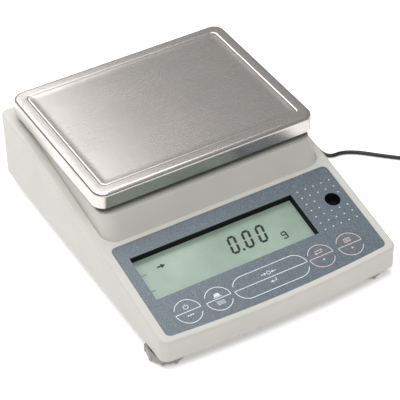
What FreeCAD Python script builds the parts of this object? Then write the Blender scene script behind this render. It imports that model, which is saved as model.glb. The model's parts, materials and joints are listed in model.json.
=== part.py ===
import FreeCAD, Part
import math
import os

import Sketcher
from FreeCAD import Placement, Rotation, Vector

# Top-loading precision balance, in millimetres.
# The origin is on the bench, under the middle of the case: +X right, +Y to the rear, +Z up.

doc = FreeCAD.newDocument("precision_balance")
sheet = doc.addObject("Spreadsheet::Sheet", "sizes")
NODES = []


class Size:
    """A number together with the sheet expression that it comes from."""

    def __init__(self, value, text):
        self.value = float(value)
        self.text = text

    def __add__(self, other):
        other = as_size(other)
        return Size(self.value + other.value, f"({self.text} + {other.text})")

    def __radd__(self, other):
        return as_size(other) + self

    def __sub__(self, other):
        other = as_size(other)
        return Size(self.value - other.value, f"({self.text} - {other.text})")

    def __rsub__(self, other):
        return as_size(other) - self

    def __mul__(self, other):
        other = as_size(other)
        return Size(self.value * other.value, f"({self.text} * {other.text})")

    def __rmul__(self, other):
        return as_size(other) * self

    def __truediv__(self, other):
        other = as_size(other)
        return Size(self.value / other.value, f"({self.text} / {other.text})")

    def __neg__(self):
        return Size(-self.value, f"(0 - {self.text})")


def as_size(number):
    """A plain number as a Size; a Size as it is."""
    return number if isinstance(number, Size) else Size(number, f"{number:.6f}")


def root(size):
    return Size(math.sqrt(size.value), f"sqrt({size.text})")


def sine(angle):
    return Size(math.sin(math.radians(angle.value)), f"sin({angle.text})")


def cosine(angle):
    return Size(math.cos(math.radians(angle.value)), f"cos({angle.text})")


def tangent(angle):
    return Size(math.tan(math.radians(angle.value)), f"tan({angle.text})")


def size(alias, value, note):
    """Writes one driving dimension to the sheet and returns it."""
    row = size.row = getattr(size, "row", 0) + 1
    sheet.set(f"A{row}", note)
    sheet.set(f"B{row}", str(value))
    sheet.setAlias(f"B{row}", alias)
    sheet.recompute()
    return Size(sheet.get(alias), f"sizes.{alias}")


# ---------------------------------------------------------------- driving dimensions

# Case.
body_width = size("body_width", 171.2, "case, side to side")
body_depth = size("body_depth", 224, "case, front to back")
base_gap = size("base_gap", 8.5, "underside of the case above the bench")
front_rise = size("front_rise", 15.2, "front wall, up to the panel's plane")
rear_rise = size("rear_rise", 49.1, "flat rear top above the underside")
panel_slope = size("panel_slope", 12.13, "slope of the control panel")
rear_slope = size("rear_slope", 8.4, "slope of the side rims beside the weighing platform")
kink_depth = size("kink_depth", 85, "from the front to where the panel's slope ends")
corner_radius = size("corner_radius", 5.5, "upright corners of the case")
front_bow = size("front_bow", 4, "how far the front wall bulges forward")
edge_radius = size("edge_radius", 1.6, "rounding of the case's top edges")
wall = size("wall", 2.5, "wall of the mouldings")
fit_gap = size("fit_gap", 0.2, "gap between mouldings that fit into each other")

# Weighing platform, under the pan.
platform_side = size("platform_side", 7.7, "platform's top edge, in from the case's sides")
platform_base = size("platform_base", 82.6, "from the case's front to where the platform leaves the panel")
platform_rear = size("platform_rear", 13, "platform's top edge, in from the case's rear")
platform_sink = size("platform_sink", 5.4, "platform's lower edge below the upper end of the panel")
platform_front_angle = size("platform_front_angle", 25, "lean of the platform's front wall")
platform_side_angle = size("platform_side_angle", 8, "lean of its other walls")
platform_corner = size("platform_corner", 10, "upright corners of the platform")
platform_wall = size("platform_wall", 2, "wall of the platform")
platform_edge = size("platform_edge", 0.8, "rounding of the platform's top edge")
post_hole_radius = size("post_hole_radius", 8, "hole for the load post")
collar_width = size("collar_width", 2.5, "drip collar round that hole")
collar_height = size("collar_height", 1, "drip collar's height")

# Pan and its support.
pan_width = size("pan_width", 160.8, "pan, side to side")
pan_depth = size("pan_depth", 124, "pan, front to back")
pan_skirt = size("pan_skirt", 11.4, "height of the pan with its skirt")
pan_gap = size("pan_gap", 5.2, "skirt's lower edge above the platform")
pan_centre = size("pan_centre", 153.6, "from the case's front to the pan's centre")
pan_corner = size("pan_corner", 8.5, "upright corners of the pan")
pan_edge = size("pan_edge", 2.6, "rounding of the pan's top edge")
pan_sheet = size("pan_sheet", 1, "thickness of the pan's steel sheet")
pan_border = size("pan_border", 7.4, "raised border of the pan")
pan_step = size("pan_step", 0.5, "depth of the step inside the border")
pan_inner_corner = size("pan_inner_corner", 3, "corners of the step")
pan_step_edge = size("pan_step_edge", 0.24, "rounding of the step's edges")
cushion_radius = size("cushion_radius", 5.5, "rubber cushion under the pan")
cushion_inset = size("cushion_inset", 18, "cushion centres in from the pan's sides")
cushion_height = size("cushion_height", 4.2, "height of a cushion")
arm_width = size("arm_width", 10, "arm of the pan support")
arm_height = size("arm_height", 4.5, "height of those arms")
hub_radius = size("hub_radius", 7.2, "hub of the pan support")
hub_lift = size("hub_lift", 2, "hub's lower face above the platform")
post_radius = size("post_radius", 5, "load post")
slip = size("slip", 0.06, "radial clearance of a pin in its hole")

# Control panel.
film_width = size("film_width", 159.8, "printed panel film, side to side")
film_margin = size("film_margin", 4.4, "film's front edge behind the case's front")
film_top = size("film_top", 80.9, "film's rear edge, up the slope from the case's front")
film_corner = size("film_corner", 3.5, "corners of the film")
film_thickness = size("film_thickness", 0.35, "film")
film_recess = size("film_recess", 0.5, "recess that the film lies in")
window_left = size("window_left", -72.3, "display window's left side")
window_width = size("window_width", 118.5, "display window, side to side")
window_low = size("window_low", 34.85, "display window's lower side, up the slope")
window_height = size("window_height", 34.8, "display window, up the slope")
window_depth = size("window_depth", 6, "how deep the display's glass lies")
bezel_wall = size("bezel_wall", 1.2, "wall of the display's bezel")
glass_margin = size("glass_margin", 3, "display's glass past the window, each side")
glass_thickness = size("glass_thickness", 2.4, "display's glass sandwich")
board_thickness = size("board_thickness", 1.6, "circuit boards")
key_row = size("key_row", 18.8, "line of the keys' centres, up the slope")
key_radius = size("key_radius", 9.2, "round ends of the keys")
key_gap = size("key_gap", 0.1, "gap round a key")
tare_length = size("tare_length", 54, "long middle key, end to end")
key_cap = size("key_cap", 1.15, "thickness of a key")
key_pocket = size("key_pocket", 1.9, "depth of the pocket that a key moves in")
key_travel = size("key_travel", 0.4, "travel of a key")
stem_radius = size("stem_radius", 2.5, "stem of a key")
stem_gap = size("stem_gap", 0.5, "gap round a key's stem")
switch_side = size("switch_side", 6, "push switch, side")
switch_height = size("switch_height", 1.5, "push switch, body")
switch_button = size("switch_button", 1.7, "push switch, radius of its button")
press_gap = size("press_gap", 0.05, "gap left under a pressed key")
level_x = size("level_x", 69, "bubble level, side to side")
level_row = size("level_row", 54.65, "bubble level, up the slope")
level_window = size("level_window", 5.2, "radius of the hole over the bubble level")
cup_radius = size("cup_radius", 7.2, "bubble level's cup")
cup_height = size("cup_height", 6.9, "height of that cup")
cup_wall = size("cup_wall", 1, "wall of that cup")

# Feet.
foot_inset = size("foot_inset", 19.3, "front feet, in from the case's front")
rear_foot_inset = size("rear_foot_inset", 37, "rear feet, in from the case's rear")
right_foot_shift = size("right_foot_shift", 3.7, "front right foot, further in than the front left")
rear_foot_shift = size("rear_foot_shift", 7.1, "rear feet, further in than the front left")
pad_radius = size("pad_radius", 8, "rubber pad of a foot")
pad_height = size("pad_height", 1.5, "height of that pad")
wheel_radius = size("wheel_radius", 12.5, "levelling wheel between its ribs")
wheel_height = size("wheel_height", 5.5, "height of the wheel")
rib_radius = size("rib_radius", 1.5, "grip ribs of the wheel")
rib_count = size("rib_count", 9, "number of grip ribs")
wheel_rim = size("wheel_rim", 1.6, "rim round the wheel's hollow top")
wheel_hub = size("wheel_hub", 5, "radius of the wheel's hub")
wheel_hollow = size("wheel_hollow", 3.4, "depth of that hollow")
stud_radius = size("stud_radius", 3, "threaded stud of a foot")
stud_length = size("stud_length", 7, "stud above the wheel")
pivot_pin = size("pivot_pin", 2, "pin of the pad in the wheel")
insert_radius = size("insert_radius", 4.6, "brass insert in the bottom cover")
insert_length = size("insert_length", 6, "length of the insert")
boss_wall = size("boss_wall", 1.7, "wall of the boss round an insert")
boss_gap = size("boss_gap", 1.9, "gap between that boss and the side wall")

# Force cell.
cell_width = size("cell_width", 42, "cell's base plate, side to side")
cell_margin = size("cell_margin", 2.5, "base plate past the position sensor")
cell_tail = size("cell_tail", 10, "base plate past the rear tower")
cell_lift = size("cell_lift", 1.5, "base plate above the bottom cover")
cell_plate = size("cell_plate", 4.5, "thickness of the base plate")
tower_width = size("tower_width", 32, "rear tower, side to side")
tower_depth = size("tower_depth", 10, "rear tower, front to back")
tower_height = size("tower_height", 33, "rear tower above the base plate")
guide_length = size("guide_length", 38, "guides, hinge to hinge")
guide_width = size("guide_width", 26, "guides, side to side")
guide_sheet = size("guide_sheet", 2, "thickness of a guide")
guide_low = size("guide_low", 7, "lower guide above the base plate")
guide_high = size("guide_high", 29, "upper guide above the base plate")
hinge_radius = size("hinge_radius", 1.4, "round ends of the guides")
hinge_gap = size("hinge_gap", 0.5, "gap round those ends")
carrier_width = size("carrier_width", 28, "load carrier, side to side")
carrier_depth = size("carrier_depth", 13.2, "load carrier, front to back")
carrier_lift = size("carrier_lift", 3, "load carrier above the base plate")
carrier_height = size("carrier_height", 31, "height of the load carrier")
load_travel = size("load_travel", 0.4, "travel of the load carrier under overload")
stop_radius = size("stop_radius", 2.5, "overload stop")
stop_x = size("stop_x", 9, "overload stops, from the middle")
short_arm = size("short_arm", 10, "lever, pivot to load carrier")
long_arm = size("long_arm", 31, "lever, pivot to coil")
lever_width = size("lever_width", 9, "lever, side to side")
lever_depth = size("lever_depth", 4, "height of the lever")
lever_axis = size("lever_axis", 19, "lever's pivot above the base plate")
lever_overhang = size("lever_overhang", 19, "lever past the coil's centre")
lever_tongue = size("lever_tongue", 2.5, "lever's end inside the load carrier")
pivot_radius = size("pivot_radius", 1.2, "pivot pin of the lever")
ear_width = size("ear_width", 3.5, "ears that hold the pivot pin")
ear_gap = size("ear_gap", 1, "gap between lever and ears")
fulcrum_depth = size("fulcrum_depth", 8, "fulcrum post, front to back")
yoke_radius = size("yoke_radius", 18.5, "magnet yoke")
yoke_height = size("yoke_height", 14.5, "height of the yoke")
yoke_wall = size("yoke_wall", 1.7, "wall of the yoke")
yoke_floor = size("yoke_floor", 4, "floor of the yoke")
magnet_radius = size("magnet_radius", 10, "magnet")
magnet_height = size("magnet_height", 6, "height of the magnet")
pole_radius = size("pole_radius", 11.3, "pole cap on the magnet")
coil_inner = size("coil_inner", 12.8, "coil, inside radius")
coil_outer = size("coil_outer", 15.2, "coil, outside radius")
coil_top = size("coil_top", 1.6, "closed top of the coil's former")
coil_height = size("coil_height", 11.2, "height of the coil with its former")
flag_sheet = size("flag_sheet", 1, "thickness of the sensor's flag")
flag_length = size("flag_length", 7, "sensor's flag, front to back")
flag_low = size("flag_low", 11, "flag's lower edge above the base plate")
flag_high = size("flag_high", 16.5, "flag's upper edge above the base plate")
sensor_width = size("sensor_width", 14, "position sensor, side to side")
sensor_depth = size("sensor_depth", 5, "position sensor, front to back")
sensor_height = size("sensor_height", 16, "position sensor above the base plate")
sensor_slot = size("sensor_slot", 4.4, "slot of the position sensor")

# Boards, sockets and screws.
main_width = size("main_width", 41, "main board, side to side")
main_rear = size("main_rear", 8, "main board's rear edge, in from the case's rear")
main_depth = size("main_depth", 124, "main board, front to back")
standoff_radius = size("standoff_radius", 3, "posts under the main board")
standoff_height = size("standoff_height", 4, "height of those posts")
jack_x = size("jack_x", 58, "power jack, side to side")
jack_width = size("jack_width", 9.6, "power jack's housing")
jack_height = size("jack_height", 11, "height of the power jack")
jack_length = size("jack_length", 14, "length of the power jack")
jack_bore = size("jack_bore", 2.8, "radius of its socket")
jack_bore_depth = size("jack_bore_depth", 10, "depth of its socket")
port_x = size("port_x", 38, "data port, side to side")
port_width = size("port_width", 14, "data port's housing")
port_height = size("port_height", 12, "height of the data port")
port_length = size("port_length", 15, "length of the data port")
port_wall = size("port_wall", 1.7, "wall of the data port")
port_depth = size("port_depth", 11, "depth of its socket")
screw_radius = size("screw_radius", 1.5, "shank of the case screws")
head_radius = size("head_radius", 2.8, "head of the case screws")
head_height = size("head_height", 1.7, "height of that head")
screw_length = size("screw_length", 9, "shank of the case screws, length")
boss_radius = size("boss_radius", 4.8, "screw bosses of the case")
boss_overlap = size("boss_overlap", 0.2, "screw bosses into the side walls")
leg_radius = size("leg_radius", 2.8, "legs under the platform")

# Power lead and its plug-in adapter.
cord_diameter = size("cord_diameter", 2.8, "power lead")
barrel_radius = size("barrel_radius", 2.75, "barrel of the plug")
barrel_length = size("barrel_length", 9, "barrel of the plug, length")
plug_radius = size("plug_radius", 4.9, "body of the plug")
plug_length = size("plug_length", 13.7, "body of the plug, length")
relief_radius = size("relief_radius", 3.9, "strain reliefs, thick end")
relief_tip = size("relief_tip", 2.1, "strain reliefs, thin end")
relief_length = size("relief_length", 20, "strain relief at the plug")
adapter_relief = size("adapter_relief", 16, "strain relief at the adapter")
adapter_width = size("adapter_width", 30, "adapter, side to side as it lies")
adapter_length = size("adapter_length", 58, "adapter, front to back")
adapter_height = size("adapter_height", 40, "adapter, height as it lies")
relief_level = size("relief_level", 8, "adapter's strain relief above the bench")
adapter_rounding = size("adapter_rounding", 4, "rounding of the adapter")
prong_radius = size("prong_radius", 2, "pins of the adapter")
prong_length = size("prong_length", 19, "pins of the adapter, length")
prong_spacing = size("prong_spacing", 19, "pins of the adapter, centre to centre")
coil_rows = size("coil_rows", 3, "turns side by side in the lead's coil")
coil_layers = size("coil_layers", 4, "layers of the lead's coil")
coil_middle = size("coil_middle", 17, "middle radius of the lead's coil")
tie_width = size("tie_width", 4, "tie round the lead's coil")
tie_sheet = size("tie_sheet", 0.8, "thickness of the tie")

# Lines that several pieces share.
half_width = body_width / 2
front_y = -body_depth / 2
rear_y = body_depth / 2
case_top = base_gap + rear_rise
panel_base = base_gap + front_rise
front_radius = (half_width * half_width + front_bow * front_bow) / (2 * front_bow)
inner_x = half_width - wall
inner_rear = rear_y - wall
floor_top = base_gap + wall
plate_low = floor_top + cell_lift
plate_top = plate_low + cell_plate
pan_y = front_y + pan_centre
pan_low = case_top + pan_gap
pan_top = pan_low + pan_skirt
kink_y = front_y + kink_depth
kink_z = panel_base + kink_depth * tangent(panel_slope)
platform_drop = case_top - kink_z + platform_sink
platform_rise = case_top - panel_base - platform_base * tangent(panel_slope)
platform_y = front_y + platform_base + platform_rise * tangent(platform_front_angle)
platform_width = body_width - 2 * platform_side
platform_end = rear_y - platform_rear
boss_x = inner_x - boss_radius + boss_overlap
foot_x = inner_x - boss_gap - boss_wall - insert_radius
cup_drop = wall / cosine(panel_slope) + cup_radius * tangent(panel_slope) + fit_gap
board_depth = window_depth + glass_thickness
front_foot_y = front_y + foot_inset
rear_foot_y = rear_y - rear_foot_inset
tower_y = pan_y + carrier_depth / 2 + guide_length
carrier_front = pan_y - carrier_depth / 2
carrier_rear = pan_y + carrier_depth / 2
pivot_y = carrier_front - short_arm
pivot_z = plate_top + lever_axis
coil_y = pivot_y - long_arm
lever_end = coil_y - lever_overhang
lever_low = pivot_z - lever_depth / 2
ear_out = lever_width / 2 + ear_gap + ear_width
sensor_rear = lever_end - 2.5
cell_start = sensor_rear - sensor_depth - cell_margin
cell_end = tower_y + tower_depth + cell_tail
main_level = floor_top + standoff_height
board_top = main_level + board_thickness
main_left = cell_width / 2 + 2 * leg_radius + 1.4
main_end = rear_y - main_rear
main_start = main_end - main_depth


# ---------------------------------------------------------------- ways of making things


def bind(thing, path, value):
    """Ties one property of an object to its sizes."""
    thing.setExpression(path, as_size(value).text)


def node(name, thing):
    """Names a finished sub-part and keeps it for the export."""
    thing.Label = name
    NODES.append(thing)
    return thing


def place(thing, x, y, z):
    bind(thing, "Placement.Base.x", x)
    bind(thing, "Placement.Base.y", y)
    bind(thing, "Placement.Base.z", z)


def on_panel(v, w):
    """The height and depth of a point v up the panel's slope and w out of its plane."""
    y = front_y + v * cosine(panel_slope) - w * sine(panel_slope)
    z = panel_base + v * sine(panel_slope) + w * cosine(panel_slope)
    return y, z


def lay_on_panel(thing, x, v, w):
    """Places an object in the panel's sloping plane."""
    thing.Placement = Placement(Vector(0, 0, 0), Rotation(Vector(1, 0, 0), panel_slope.value))
    place(thing, x, *on_panel(v, w))
    bind(thing, "Placement.Rotation.Angle", panel_slope)


def box(name, x_span, y_span, z_span, sloping=False):
    """A block between two values on each axis, upright or in the panel's plane."""
    block = doc.addObject("Part::Box", name)
    for side, span in (("Length", x_span), ("Width", y_span), ("Height", z_span)):
        bind(block, side, as_size(span[1]) - span[0])
    put = lay_on_panel if sloping else place
    put(block, x_span[0], as_size(y_span[0]), as_size(z_span[0]))
    return block


AXIS_TURN = {
    "X": Rotation(Vector(0, 1, 0), 90),
    "Y": Rotation(Vector(1, 0, 0), -90),
    "Z": Rotation(),
}


def cylinder(name, x, y, z, radius, length, axis="Z", sloping=False):
    """A rod that starts at x, y, z and runs along an axis, or out of the panel's plane."""
    rod = doc.addObject("Part::Cylinder", name)
    bind(rod, "Radius", radius)
    bind(rod, "Height", length)
    if sloping:
        lay_on_panel(rod, x, as_size(y), as_size(z))
    else:
        rod.Placement = Placement(Vector(0, 0, 0), AXIS_TURN[axis])
        place(rod, x, y, z)
    return rod


def cone(name, x, y, z, radius_start, radius_end, length, axis="Z"):
    taper = doc.addObject("Part::Cone", name)
    bind(taper, "Radius1", radius_start)
    bind(taper, "Radius2", radius_end)
    bind(taper, "Height", length)
    taper.Placement = Placement(Vector(0, 0, 0), AXIS_TURN[axis])
    place(taper, x, y, z)
    return taper


def fuse(name, pieces):
    joined = doc.addObject("Part::MultiFuse", name)
    joined.Shapes = pieces
    return joined


def cut(name, base, tools):
    """Takes one or more tools away from a base."""
    result = doc.addObject("Part::Cut", name)
    result.Base = base
    result.Tool = tools[0] if len(tools) == 1 else fuse(name + "_tools", tools)
    return result


def group(name, pieces):
    """Several like pieces that share one node."""
    together = doc.addObject("Part::Compound", name)
    together.Links = pieces
    return together


def new_body(name):
    return doc.addObject("PartDesign::Body", name)


def sketch_on(body, name, height=0, role="XY_Plane"):
    """A sketch on one of the body's own origin planes, raised along its normal."""
    drawing = body.newObject("Sketcher::SketchObject", name)
    plane = next(f for f in body.Origin.OriginFeatures if f.Role == role)
    drawing.AttachmentSupport = [(plane, "")]
    drawing.MapMode = "FlatFace"
    bind(drawing, "AttachmentOffset.Base.z", height)
    return drawing


def pin(drawing, geometry, end, x, y):
    """Fixes one point of a sketch at x, y from its origin."""
    for kind, value in (("DistanceX", as_size(x)), ("DistanceY", as_size(y))):
        index = drawing.addConstraint(Sketcher.Constraint(kind, -1, 1, geometry, end, value.value))
        bind(drawing, f"Constraints[{index}]", value)


def set_radius(drawing, geometry, radius):
    value = as_size(radius)
    index = drawing.addConstraint(Sketcher.Constraint("Radius", geometry, value.value))
    bind(drawing, f"Constraints[{index}]", value)


def add_line(drawing, start, end):
    """A line between two points that are given by sizes."""
    ends = [Vector(as_size(x).value, as_size(y).value, 0) for x, y in (start, end)]
    line = drawing.addGeometry(Part.LineSegment(*ends), False)
    pin(drawing, line, 1, *start)
    pin(drawing, line, 2, *end)
    return line


def add_arc(drawing, centre, radius, first, last, before, after):
    """An arc, anticlockwise from the end of one line to the start of the next."""
    middle = Vector(as_size(centre[0]).value, as_size(centre[1]).value, 0)
    circle = Part.Circle(middle, Vector(0, 0, 1), as_size(radius).value)
    arc = drawing.addGeometry(Part.ArcOfCircle(circle, math.radians(first), math.radians(last)), False)
    drawing.addConstraint(Sketcher.Constraint("Coincident", arc, 1, before, 2))
    drawing.addConstraint(Sketcher.Constraint("Coincident", arc, 2, after, 1))
    set_radius(drawing, arc, radius)


def polygon(drawing, corners):
    """Straight lines from corner to corner and back to the first."""
    ends = [Vector(as_size(x).value, as_size(y).value, 0) for x, y in corners]
    lines = [
        drawing.addGeometry(Part.LineSegment(start, end), False)
        for start, end in zip(ends, ends[1:] + ends[:1])
    ]
    for line, after, corner in zip(lines, lines[1:] + lines[:1], corners):
        drawing.addConstraint(Sketcher.Constraint("Coincident", line, 2, after, 1))
        pin(drawing, line, 1, *corner)


def rectangle(drawing, x_span, y_span):
    (left, right), (low, high) = x_span, y_span
    polygon(drawing, [(left, low), (right, low), (right, high), (left, high)])


def circle(drawing, x, y, radius):
    centre = Vector(as_size(x).value, as_size(y).value, 0)
    ring = drawing.addGeometry(Part.Circle(centre, Vector(0, 0, 1), as_size(radius).value), False)
    pin(drawing, ring, 3, x, y)
    set_radius(drawing, ring, radius)


def rounded_rectangle(drawing, x_span, y_span, radius):
    """A rectangle with four round corners, drawn anticlockwise from its lower side."""
    (left, right), (low, high) = x_span, y_span
    lines = [
        add_line(drawing, (left + radius, low), (right - radius, low)),
        add_line(drawing, (right, low + radius), (right, high - radius)),
        add_line(drawing, (right - radius, high), (left + radius, high)),
        add_line(drawing, (left, high - radius), (left, low + radius)),
    ]
    centres = [
        (right - radius, low + radius),
        (right - radius, high - radius),
        (left + radius, high - radius),
        (left + radius, low + radius),
    ]
    for quarter, centre in enumerate(centres):
        start = 90 * (quarter - 1)
        before, after = lines[quarter], lines[(quarter + 1) % 4]
        add_arc(drawing, centre, radius, start, start + 90, before, after)


def stadium(drawing, x, y, length, radius):
    """A long hole or key: two straight sides joined by half circles."""
    reach = length / 2 - radius
    lower = add_line(drawing, (x - reach, y - radius), (x + reach, y - radius))
    upper = add_line(drawing, (x + reach, y + radius), (x - reach, y + radius))
    for start, centre_x, before, after in ((-90, x + reach, lower, upper), (90, x - reach, upper, lower)):
        middle = Vector(centre_x.value, as_size(y).value, 0)
        ring = Part.Circle(middle, Vector(0, 0, 1), radius.value)
        ends = (math.radians(start), math.radians(start + 180))
        arc = drawing.addGeometry(Part.ArcOfCircle(ring, *ends), False)
        drawing.addConstraint(Sketcher.Constraint("Coincident", arc, 1, before, 2))
        drawing.addConstraint(Sketcher.Constraint("Coincident", arc, 2, after, 1))
        index = drawing.addConstraint(Sketcher.Constraint("DistanceX", -1, 1, arc, 3, centre_x.value))
        bind(drawing, f"Constraints[{index}]", centre_x)


def bowed_rectangle(drawing, reach, front, rear, radius):
    """A rectangle whose front side bulges forward as an arc."""
    side = front + radius - root(radius * radius - reach * reach)
    right = add_line(drawing, (reach, side), (reach, rear))
    back = drawing.addGeometry(
        Part.LineSegment(Vector(reach.value, rear.value, 0), Vector(-reach.value, rear.value, 0)), False
    )
    left = add_line(drawing, (-reach, rear), (-reach, side))
    drawing.addConstraint(Sketcher.Constraint("Coincident", back, 1, right, 2))
    drawing.addConstraint(Sketcher.Constraint("Coincident", back, 2, left, 1))
    opening = math.degrees(math.asin(reach.value / radius.value))
    centre = (Size(0, "0"), front + radius)
    add_arc(drawing, centre, radius, 270 - opening, 270 + opening, left, right)


def pad(body, name, drawing, length, downward=False):
    feature = body.newObject("PartDesign::Pad", name)
    feature.Profile = drawing
    feature.Reversed = downward
    bind(feature, "Length", length)
    return feature


def pocket(body, name, drawing, depth, upward=False):
    """Cuts along the sketch's normal: down into the body, or up from below it."""
    feature = body.newObject("PartDesign::Pocket", name)
    feature.Profile = drawing
    feature.Reversed = upward
    bind(feature, "Length", depth)
    return feature


def edges_of(feature, chosen):
    """Names of the edges that a test picks."""
    doc.recompute()
    return [f"Edge{number}" for number, edge in enumerate(feature.Shape.Edges, 1) if chosen(edge)]


def fillet(body, name, feature, chosen, radius):
    edges = edges_of(feature, chosen)
    rounding = body.newObject("PartDesign::Fillet", name)
    rounding.Base = (feature, edges)
    bind(rounding, "Radius", radius)
    return rounding


def is_upright(edge):
    """A straight edge along Z of the body's own axes."""
    ends = [vertex.Point for vertex in edge.Vertexes]
    if len(ends) < 2 or edge.Curve.TypeId != "Part::GeomLine":
        return False
    run = ends[1] - ends[0]
    return math.hypot(run.x, run.y) < 1e-6


def lies_at(level):
    """A test for edges that lie wholly at one height."""
    height = as_size(level).value
    return lambda edge: abs(edge.BoundBox.ZMin - height) < 1e-4 and abs(edge.BoundBox.ZMax - height) < 1e-4


# ---------------------------------------------------------------- case


def wedge(name, inset, low):
    """The case's outer form, or with an inset its hollow: bowed plan, two slopes, flat rear."""
    body = new_body(name)
    plan = sketch_on(body, name + "_plan", low)
    bowed_rectangle(plan, half_width - inset, front_y + inset, rear_y - inset, front_radius - inset)
    block = pad(body, name + "_block", plan, case_top - inset - low)
    corners = fillet(body, name + "_corners", block, is_upright, corner_radius - inset)

    side = sketch_on(body, name + "_slopes", 0, "YZ_Plane")
    margin = 10
    step = inset / cosine(panel_slope)
    above = case_top + body_depth
    start = front_y - margin
    end = kink_y + 2 * body_depth
    polygon(
        side,
        [
            (start, panel_base - step - margin * tangent(panel_slope)),
            (kink_y, kink_z - step),
            (end, kink_z - step + 2 * body_depth * tangent(rear_slope)),
            (end, above),
            (start, above),
        ],
    )
    top = pocket(body, name + "_top", side, 2 * body_width)
    top.Midplane = True
    body.Tip = top
    doc.recompute()
    return body, top


def case_outside():
    """The outer form with its top edges rounded over."""
    body, top = wedge("case_outer", Size(0, "0"), base_gap)
    lowest = panel_base.value - 1

    def on_rim(edge):
        middle = edge.valueAt((edge.FirstParameter + edge.LastParameter) / 2)
        box_ = edge.BoundBox
        outside = (
            abs(abs(middle.x) - half_width.value) < 0.5
            or middle.y > rear_y.value - 0.5
            or middle.y < front_y.value + front_bow.value + 0.5
            or (box_.XLength < 15 and box_.YLength < 15)
        )
        return box_.ZMin > lowest and outside and not is_upright(edge)

    fillet(body, "case_edges", top, on_rim, edge_radius)
    return body


def platform_form(name, inset, falls, grow):
    """The platform's tapering form; each fall below its top goes with how far that outline is drawn in."""
    body = new_body(name)
    sketches = []
    for fall, drawn_in in falls:
        side = fall * tangent(platform_side_angle) + grow - inset - drawn_in
        front = fall * tangent(platform_front_angle) + grow - inset - drawn_in
        plan = sketch_on(body, f"{name}_plan{len(sketches)}", case_top - fall)
        reach = platform_width / 2 + side
        rounded_rectangle(
            plan,
            (-reach, reach),
            (platform_y - front, platform_end + side),
            platform_corner - inset - drawn_in,
        )
        sketches.append(plan)
    loft = body.newObject("PartDesign::AdditiveLoft", name + "_loft")
    loft.Profile = sketches[0]
    loft.Sections = sketches[1:]
    loft.Ruled = True
    return body


def panel_slab(name, low, high, draw):
    """A plate in the panel's plane, from depth low to depth high, with a drawn outline."""
    body = new_body(name)
    lay_on_panel(body, 0, Size(0, "0"), Size(0, "0"))
    outline = sketch_on(body, name + "_outline", low)
    draw(outline)
    plate = pad(body, name + "_plate", outline, as_size(high) - low)
    return body, plate


KEYS = {
    "power": size("power_x", -59.1, "power key's centre"),
    "calibrate": size("calibrate_x", -37.6, "calibration key's centre"),
    "tare": size("tare_x", 0.4, "tare key's centre"),
    "unit": size("unit_x", 37.5, "unit key's centre"),
    "print": size("print_x", 59, "print key's centre"),
}


def draw_key(drawing, name, grow):
    """Outline of one key, grown all round."""
    if name == "tare":
        stadium(drawing, KEYS[name], key_row, tare_length + 2 * grow, key_radius + grow)
    else:
        circle(drawing, KEYS[name], key_row, key_radius + grow)


def film_slab(name, low, high, grow):
    """The film's outline, bowed at the front like the case, grown all round."""
    reach = film_width / 2 + grow

    def draw(outline):
        front = film_margin - grow
        bowed_rectangle(outline, reach, front, film_top + grow, front_radius - film_margin)

    body, plate = panel_slab(name, low, high, draw)
    fillet(body, name + "_corners", plate, is_upright, film_corner + grow)
    return body


def window_span(grow):
    """The display window's sides, grown all round."""
    sides = (window_left - grow, window_left + window_width + grow)
    ends = (window_low - grow, window_low + window_height + grow)
    return sides, ends


def screw_columns(name, points, low, high, radius):
    return [
        cylinder(f"{name}_{number}", x, y, low, radius, as_size(high) - low)
        for number, (x, y) in enumerate(points)
    ]


case_screw_points = [(side * boss_x, y) for side in (-1, 1) for y in (front_y + 82, rear_y - 50)]
leg_points = [
    (x, y)
    for x in (-platform_width / 2 + 12, cell_width / 2 + leg_radius + 1)
    for y in (platform_y + 10, platform_end - 13)
]
cell_screw_points = [
    (side * (cell_width / 2 - 4), y) for side in (-1, 1) for y in (cell_start + 7, cell_end - 5)
]
display_post_points = [
    (window_left + 1, window_low - 5),
    (window_left + window_width - 1, window_low - 5),
    (as_size(-62), key_row - 4.6 - stem_radius),
    (as_size(62), key_row - 4.6 - stem_radius),
]


def upper_housing():
    """Moulded upper case: rim, panel recess, platform opening, screw bosses."""
    outer = case_outside()
    hollow, _ = wedge("case_hollow", wall, base_gap - 1)
    shell = cut("case_shell", outer, [hollow])

    bosses = screw_columns("case_boss", case_screw_points, floor_top, plate_top + 17, boss_radius)
    posts = [
        cylinder(f"display_post_{number}", x, v, -board_depth, 2, board_depth - wall / 2, sloping=True)
        for number, (x, v) in enumerate(display_post_points)
    ]
    solid = fuse("case_with_bosses", [shell] + bosses + posts)

    none = Size(0, "0")
    tools = [platform_form("platform_opening", none, [(platform_drop + 1, none), (none, none)], fit_gap)]
    tools.append(film_slab("film_recess_tool", -film_recess, as_size(3), fit_gap))
    sides, ends = window_span(bezel_wall + fit_gap)
    tools.append(box("window_tool", sides, ends, (-2 * wall, wall), sloping=True))
    for name in KEYS:
        pocket_body, _ = panel_slab(
            name + "_pocket", -key_pocket, wall, lambda s, n=name: draw_key(s, n, key_gap)
        )
        tools.append(pocket_body)
        hole = stem_radius + stem_gap
        tools.append(
            cylinder(name + "_stem_hole", KEYS[name], key_row, -2 * wall, hole, 2 * wall, sloping=True)
        )
    level_y, level_z = on_panel(level_row, 0)
    sight = cylinder("sight_hole", level_x, level_y, level_z - 12, level_window + fit_gap, 20)
    tools.append(sight)
    socket_y = inner_rear - wall
    for name, x, width, height in (
        ("jack", jack_x, jack_width, jack_height),
        ("port", port_x, port_width, port_height),
    ):
        reach = width / 2 + fit_gap
        tools.append(
            box(
                name + "_opening",
                (x - reach, x + reach),
                (socket_y, rear_y + wall),
                (board_top - fit_gap, board_top + height + fit_gap),
            )
        )
    bore_top = base_gap + head_height + screw_length + 1
    tools += screw_columns("case_bore", case_screw_points, floor_top - 1, bore_top, screw_radius + slip)
    return node("upper_housing", cut("upper_housing", solid, tools))


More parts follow.
